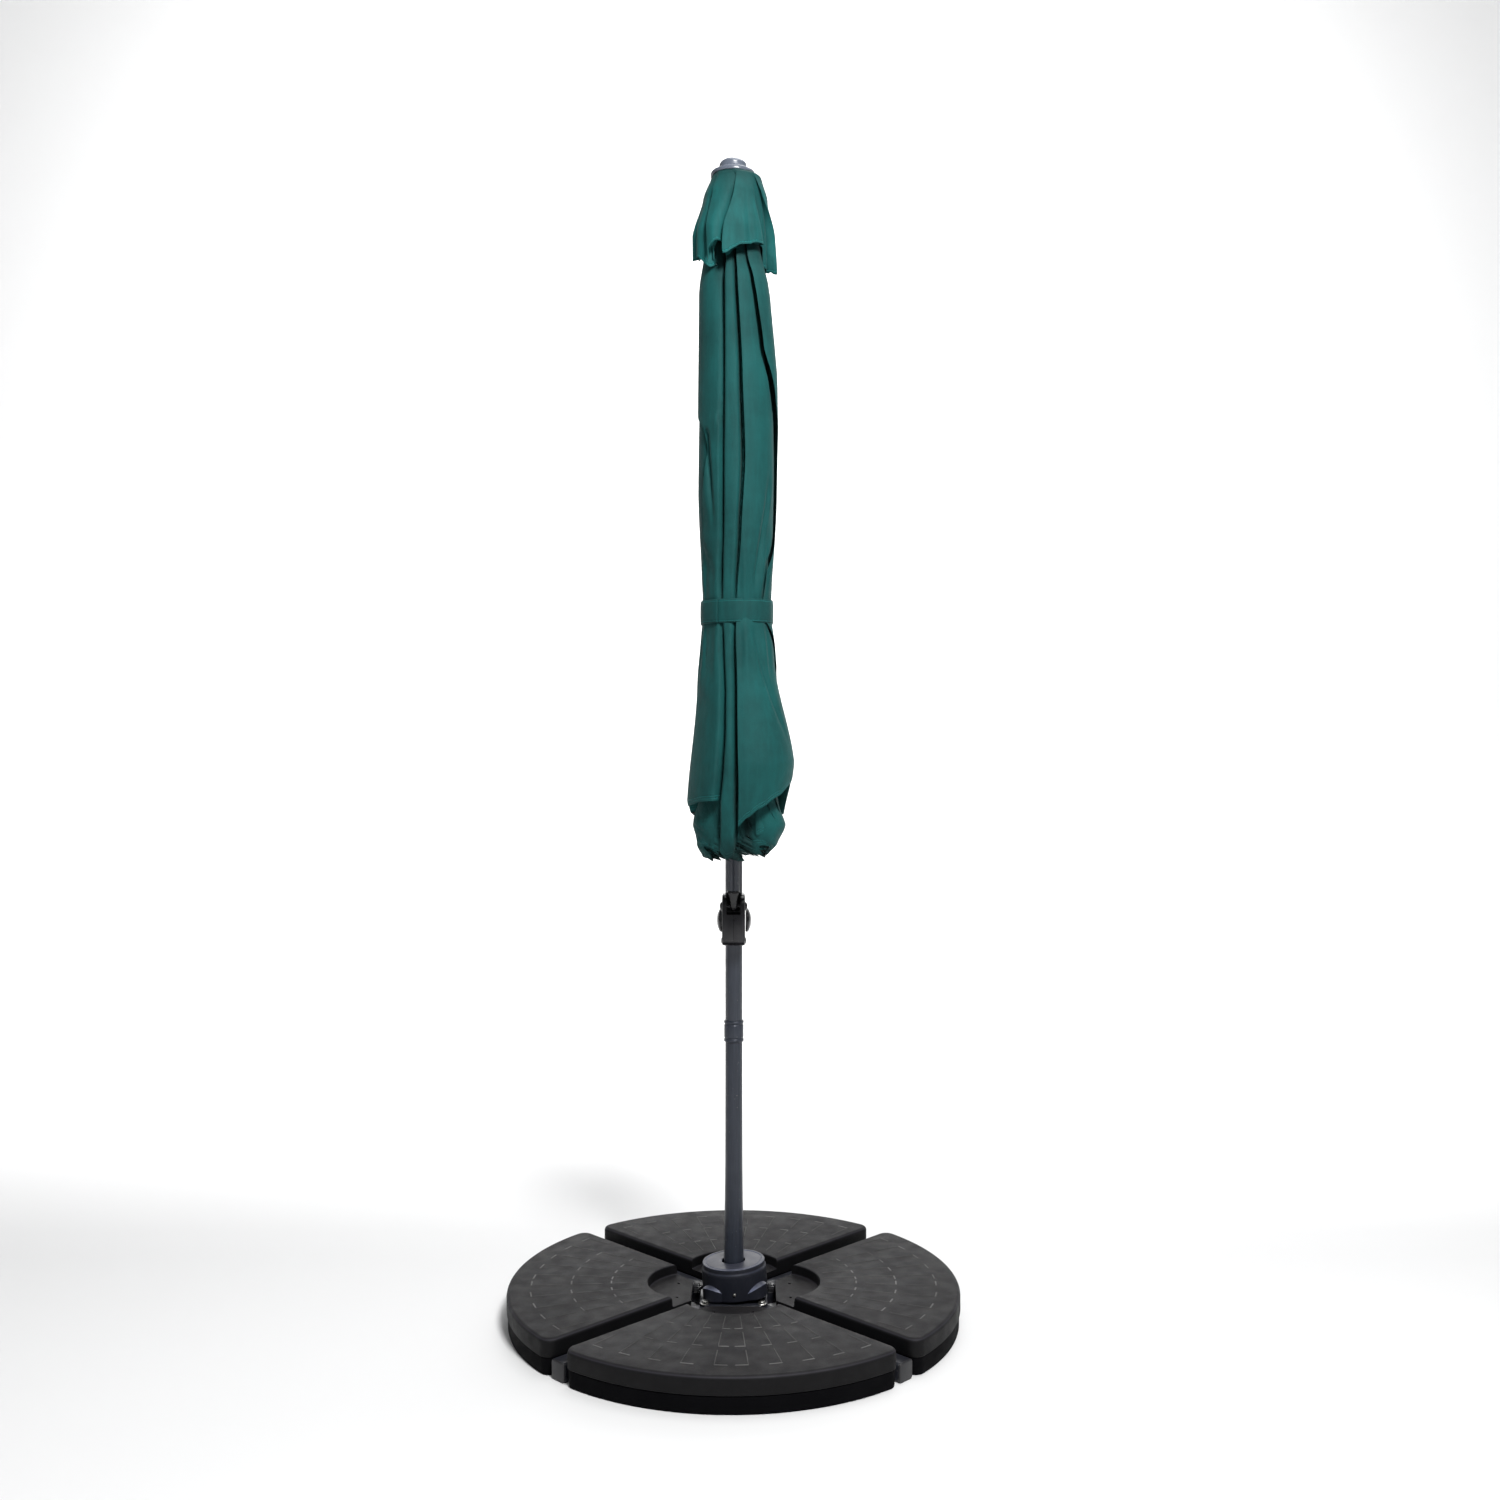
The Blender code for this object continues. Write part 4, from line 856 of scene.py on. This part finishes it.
def recess():
    """The lower shelf at the weight's inner end, with a rounded foot to its wall."""
    r = 0.004
    prof = [(0.0, SHELF_Z)]
    for i in range(5):
        a = math.radians(90 * i / 4)
        prof.append((SHELF_R - 0.001 - r + r * math.sin(a), SHELF_Z + r - r * math.cos(a)))
    prof += [(SHELF_R, WEIGHT_H - 0.003)]
    for i in range(1, 5):
        a = math.radians(90 * i / 4)
        prof.append((SHELF_R + 0.003 * (1 - math.cos(a)), WEIGHT_H - 0.003 + 0.003 * math.sin(a)))
    prof += [(SHELF_R + 0.02, WEIGHT_H + 0.0001), (SHELF_R + 0.02, WEIGHT_H + 0.02), (0.0, WEIGHT_H + 0.02)]
    n = 120
    bm = bmesh.new()
    rows = []
    for q, z in prof:
        rows.append([bm.verts.new((0, -SHELF_C, z))] * n if q == 0 else
                    [bm.verts.new((q * math.cos(TAU * i / n), -SHELF_C + q * math.sin(TAU * i / n), z))
                     for i in range(n)])
    for a, b in zip(rows, rows[1:]):
        for i in range(n):
            j = (i + 1) % n
            loop = []
            for v in (a[i], a[j], b[j], b[i]):
                if v not in loop:
                    loop.append(v)
            if len(loop) > 2:
                bm.faces.new(loop)
    bmesh.ops.recalc_face_normals(bm, faces=bm.faces)
    return bm


def weight_shell():
    """Sections of the upper shell, as (inset, height), with a rounded top edge."""
    r = 0.0085
    top = []
    for i in range(7):
        a = math.radians(90 * i / 6)
        top.append((r * (1 - math.cos(a)), WEIGHT_H - r + r * math.sin(a)))
    return [(0.0012, WEIGHT_SPLIT + 0.0003), (0.0, WEIGHT_SPLIT + 0.0018)] + top


def weight_tray():
    """Sections of the lower tray, as (inset, height)."""
    return [(0.0070, 0.0), (0.0040, 0.0012), (0.0030, 0.0045), (0.0026, WEIGHT_SPLIT - 0.0020),
            (0.0040, WEIGHT_SPLIT)]


def cut_shelf(o):
    """Cuts the inner shelf and its two small holes into the front weight."""
    boolean(o, recess())
    for x in (-0.042, 0.042):
        hole = turned([(0.0036, SHELF_Z - 0.010), (0.0036, WEIGHT_H + 0.01)], 24)
        boolean(o, shift(hole, (x, -0.125, 0)))


def weights():
    """Four equal weights, each a quarter turn on from the last; the others copy the front one's shell."""
    first = None
    for k, side in enumerate(("front", "right", "back", "left")):
        body = f"weight_{side}"
        turn = math.radians(90 * k)
        o = piece(f"{body}_top", fan_solid(weight_shell()), "weight", body, (f"{body}_shell",), 32)
        if first is None:
            cut_shelf(o)
            first = o.data
        else:
            old, o.data = o.data, first.copy()
            bpy.data.meshes.remove(old)
            o.data.transform(Matrix.Rotation(turn, 4, "Z"))
        # The marks take the lighter plastics: a painted highlight along their edges.
        for name, ticks, mat in (("ticks", True, "tick_highlight"), ("ridges", False, "ridge")):
            bm = shift(tile_marks(ticks), turn=turn)
            piece(f"{body}_{name}", bm, mat, body, (), 32)
        bm = shift(fan_solid(weight_tray()), turn=turn)
        piece(f"{body}_base", bm, "tray", body, (f"{body}_tray",), 32)


# ---------- base
def base():
    for n in ("cross_beam_long", "cross_beam_half_1", "cross_beam_half_2"):
        softened(n, 0.0009, "beam", "base")
    for i in range(1, 5):
        softened(f"beam_cap_{i}", 0.0008, "black", "base")
    softened("base_plate", 0.0008, "beam", "base")
    for i in range(1, 5):
        lo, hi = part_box(f"base_bolt_{i}")
        cx, cy = (lo[0] + hi[0]) / 2, (lo[1] + hi[1]) / 2
        base_bolt(i, cx, cy, lo[2], hi[2])
    hub_cover()
    for side, s in (("left", -1), ("right", 1)):
        knob(side, s)


def base_bolt(i, x, y, low, high):
    """Hexagon head with a chamfered top, on a washer, with its shank."""
    z = high - 0.0072
    bm = turned(fillet([(0.0040, low), (0.0040, z), (0.0095, z), (0.0095, z + 0.0014), (0.0060, z + 0.0015)],
                       0.0003, 2), 40)
    piece(f"base_bolt_{i}_fine", shift(bm, (x, y, 0)), "zinc", "base", (f"base_bolt_{i}",), 30)
    hexa = bmesh.new()
    rows = []
    for r, zz in ((0.0073, z + 0.0016), (0.0073, z + 0.0058), (0.0066, z + 0.0070)):
        turns = [TAU * k / 6 + 0.3 * i for k in range(6)]
        rows.append([hexa.verts.new((r * math.cos(a), r * math.sin(a), zz)) for a in turns])
    for a, b in zip(rows, rows[1:]):
        for k in range(6):
            hexa.faces.new((a[k], a[(k + 1) % 6], b[(k + 1) % 6], b[k]))
    hexa.faces.new(rows[0])
    hexa.faces.new(rows[-1])
    bmesh.ops.recalc_face_normals(hexa, faces=hexa.faces)
    bmesh.ops.bevel(hexa, geom=[e for e in hexa.edges], offset=0.0003, segments=2, affect="EDGES")
    piece(f"base_bolt_{i}_head", shift(hexa, (x, y, 0)), "zinc", "base", (), 30)


# The cover leans 3.5 degrees about its foot, and stands 2 mm up and 3.5 mm to the side
LEAN = Matrix.Translation((0.0035 - COVER_R, 0, 0.0479)) @ Matrix.Rotation(math.radians(-3.5), 4, "Y") \
    @ Matrix.Translation((COVER_R, 0, -0.0459))


def hub_cover():
    """A stepped cup with a grooved rim, four ramps on its skirt and a hole for each knob."""
    z0, top = 0.0459, 0.1145
    outer = [(COVER_R - 0.0030, z0), (COVER_R, z0), (COVER_R - 0.0006, z0 + 0.0520),
             (COVER_R - 0.0012, z0 + 0.0560), (COVER_R - 0.0030, z0 + 0.0600), (COVER_R - 0.0036, top),
             (0.0640, top), (0.0632, top - 0.0012), (0.0616, top - 0.0012), (0.0608, top - 0.0002),
             (0.0262, top), (0.0258, top - 0.0040), (0.0290, top - 0.0045),
             (0.0570, top - 0.0045), (0.0660, z0 + 0.0520), (COVER_R - 0.0034, z0 + 0.0490)]
    bm = turned(fillet(outer + [outer[0]], 0.0016, 4)[:-1], 120, closed=True)
    o = piece("hub_cover_fine", bm, "cover", "base", ("hub_cover",), 40)
    for a in (-138, -42, 42, 138):
        boolean(o, leaf(math.radians(a)), "UNION")
    o.data.transform(LEAN)
    for s in (-1, 1):
        boolean(o, to_x(turned([(0.0068, 0.050), (0.0068, 0.090)], 40), (0, 0, KNOB_Z), s))
    cover_screw()


def cover_screw():
    bm = turned(fillet([(0.0022, 0), (0.0022, 0.004), (0.0036, 0.004), (0.0030, 0.0056), (0.0008, 0.0060)],
                       0.0004, 3), 28)
    shift(bm, (0, -COVER_R + 0.0035, 0.062), math.radians(90), "X")
    o = piece("cover_screw", bm, "zinc", "base", (), 35)
    o.data.transform(LEAN)


def leaf(a):
    """A ramp on the cover's skirt: leaf-shaped from above, with a sloping top."""
    rows = []
    n = 14
    for i in range(n + 1):
        s = i / n
        ang = a + math.radians(-26 + 52 * s)
        bulge = 0.0125 * math.sin(math.pi * s) ** 0.9
        r_in = COVER_R - 0.004
        r_out = COVER_R - 0.0012 + bulge
        top = 0.0650 + 0.0140 * math.sin(math.pi * s * 0.9)
        rows.append([(r_in * math.cos(ang), r_in * math.sin(ang), 0.0468),
                     (r_out * math.cos(ang), r_out * math.sin(ang), 0.0468),
                     (r_out * math.cos(ang), r_out * math.sin(ang), top - 0.0055),
                     ((r_out - 0.002) * math.cos(ang), (r_out - 0.002) * math.sin(ang), top - 0.0040),
                     (r_in * math.cos(ang), r_in * math.sin(ang), top)])
    return cap_ends(ring_rows(rows))


def knob(side, s):
    """A ribbed clamp knob with a rounded face, on its threaded shank."""
    n, x0, ribs, rib_depth = 96, KNOB_X, 16, 0.0008
    rows = []
    prof = fillet([(0.0230, 0.0030), (0.0240, 0.0040), (x0 - 0.0035, 0.0040), (x0 - 0.0035, 0.0062),
                   (x0, 0.0062), (x0, 0.0100), (x0 + 0.0012, 0.0110), (x0 + 0.0124, 0.0110),
                   (x0 + 0.0140, 0.0095), (x0 + 0.0140, 0.0070), (x0 + 0.0130, 0.0064)], 0.0005, 3)
    for x, r in prof:
        ribbed = 1.0 if x0 + 0.0008 < x < x0 + 0.0130 and r > 0.0095 else 0.0
        row = []
        for i in range(n):
            a = TAU * i / n
            q = r - ribbed * rib_depth * (0.5 - 0.5 * math.cos(ribs * a))
            row.append((s * x, q * math.cos(a), KNOB_Z + q * math.sin(a)))
        rows.append(row)
    bm = cap_ends(ring_rows(rows))
    body = f"clamp_knob_{side}"
    piece(f"{body}_fine", bm, "gloss", body, (body,), 35)


# ---------- mast, carriage, boom, strut
def mast_lower():
    """The lower tube, which flares at its foot, and its collar in the cover."""
    low = [(0.0174, 0.0535), (0.0219, 0.0535), (0.0225, 0.0548), (0.0225, 0.105)]
    for i in range(15):
        s = i / 14
        low.append((MAST_R + 0.0032 * (1 - s) ** 1.7, 0.105 + 0.265 * s))
    low += [(MAST_R, 0.6317), (MAST_BORE, 0.6317), (0.0174, 0.300)]
    piece("mast_lower_fine", turned(low, 72, closed=True), "mast", "mast", ("mast_lower",), 40)


def mast_upper():
    prof = fillet([(MAST_BORE, 0.6323), (MAST_R, 0.6323), (MAST_R, 2.290), (MAST_BORE, 2.290),
                   (MAST_BORE, 0.70)], 0.0006, 2)[:-1]
    piece("mast_upper_fine", turned(prof, 72, closed=True), "mast", "mast", ("mast_upper",), 40)


def mast_coupling():
    """A sleeve with a raised ring at each end and a broad band between."""
    a, b, q = 0.0196, 0.0223, 0.0209
    prof = [(a, 0.608), (q, 0.608), (b, 0.6092), (b, 0.6138), (q, 0.6148), (q, 0.6172), (b - 0.0004, 0.6182),
            (b - 0.0004, 0.6452), (q, 0.6462), (q, 0.6488), (b, 0.6498), (b, 0.6538), (q, 0.655), (a, 0.655),
            (a, 0.63)]
    piece("mast_coupling_fine", turned(fillet(prof, 0.0005, 3), 72, closed=True), "mast", "mast",
          ("mast_coupling",), 35)


def mast():
    mast_lower()
    mast_upper()
    mast_coupling()
    softened("mast_head", 0.0007, "black", "mast")


def carriage():
    wider = Matrix.Diagonal((CARRIAGE_WIDER, 1, 1, 1))
    for side in ("left", "right"):
        o = softened(f"carriage_shell_{side}", 0.0008, "gloss", "carriage")
        o.data.transform(wider)
    o = softened("carriage_grip", 0.0035, "gloss", "carriage", steps=4)
    o.data.transform(wider)
    softened("lock_lever", 0.0004, "black", "lock_lever")
    for name, body, head, tall in (("boom_pivot_bolt", "carriage", 0.0100, 0.0078),
                                   ("carriage_bolt", "carriage", 0.0088, 0.0050)):
        lo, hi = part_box(name)
        cross_bolt(name, body, (lo + hi) / 2, (hi[0] - lo[0]) / 2, head, tall, "gloss")
    for side, s in (("left", -1), ("right", 1)):
        winch_disc(f"winch_disc_{side}", s)


def winch_disc(name, s):
    """A domed disc on one side of the housing, clear of its wall."""
    lo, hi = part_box(name)
    x0 = CARRIAGE_WIDER * (lo[0] if s > 0 else hi[0]) + s * 0.0002
    prof = [(0.0185, 0), (0.0200, 0.0009), (0.0200, 0.0030), (0.0190, 0.0052), (0.0168, 0.0074),
            (0.0150, 0.0078), (0.0140, 0.0086), (0.0120, 0.0098), (0.0085, 0.0109), (0.0045, 0.0114),
            (0.0004, 0.0115)]
    prof = [(DISC_WIDER * r, x * DISC_THICKER) for r, x in prof]
    bm = to_x(turned(fillet(prof, 0.0008, 3), 64), (x0, (lo[1] + hi[1]) / 2, (lo[2] + hi[2]) / 2), s)
    piece(f"{name}_fine", bm, "gloss", "winch", (name,), 35)


def cross_bolt(name, body, at, half, head, tall, mat):
    """A bolt along X with a domed head and a domed nut."""
    edge = half - tall
    prof = []
    for x, r in ((half, 0.0004), (half - 0.0002, head * 0.35), (half - tall * 0.12, head * 0.62),
                 (half - tall * 0.42, head * 0.88), (half - tall * 0.80, head), (edge, head), (edge, 0.0046)):
        prof.append((r, x))
    prof += [(r, -x) for r, x in reversed(prof)]
    bm = to_x(turned(fillet(prof, 0.0004, 3), 48), tuple(at), 1)
    piece(f"{name}_fine", bm, mat, body, (name,), 35)


def arm():
    softened("boom_tube", 0.0012, "mast", "boom")
    softened("boom_foot", 0.0007, "gloss", "boom")
    softened("boom_head", 0.0007, "black", "boom")
    for side in ("left", "right"):
        softened(f"strut_bar_{side}", 0.0009, "mast", "strut")


def crown():
    """The ring that clamps the cloth, and a small dome on it."""
    z, dome_r, dome_h = 2.4665, 0.0290, 0.0150
    prof = [(0.0440, z), (0.0472, z + 0.0010), (0.0475, z + 0.0022), (0.0475, z + 0.0056),
            (0.0462, z + 0.0085), (0.0350, z + 0.0150), (0.0310, z + 0.0165), (0.0300, z + 0.0180),
            (dome_r, z + 0.0240)]
    for i in range(1, 9):
        a = math.radians(90 * i / 8)
        prof.append((dome_r * math.cos(a) + 0.0003, z + 0.0240 + dome_h * math.sin(a)))
    piece("crown_cap_fine", shift(turned(fillet(prof, 0.0007, 3), 72), (0, AXIS_Y, 0)), "cap", "canopy",
          ("crown_cap",), 30)
    softened("crown_hub", 0.0006, "black", "canopy")


def rest_of_the_nodes():
    """Hidden or small CAD nodes keep their shape and get the fine materials."""
    mats = {"mast_socket": "beam", "mast_joiner": "zinc", "winch_drum": "zinc", "hang_bolt": "zinc",
            "centre_post": "zinc", "runner": "black"}
    mats.update({f"rib_{i}": "rib" for i in range(1, 9)})
    for name, mat in mats.items():
        o = cad_object(name)
        o.data.materials.clear()
        o.data.materials.append(M[mat])


studio_world()
floor()
lights()
camera()
canopy()
vent_flap()
strap()
weights()
base()
mast()
carriage()
arm()
crown()
rest_of_the_nodes()
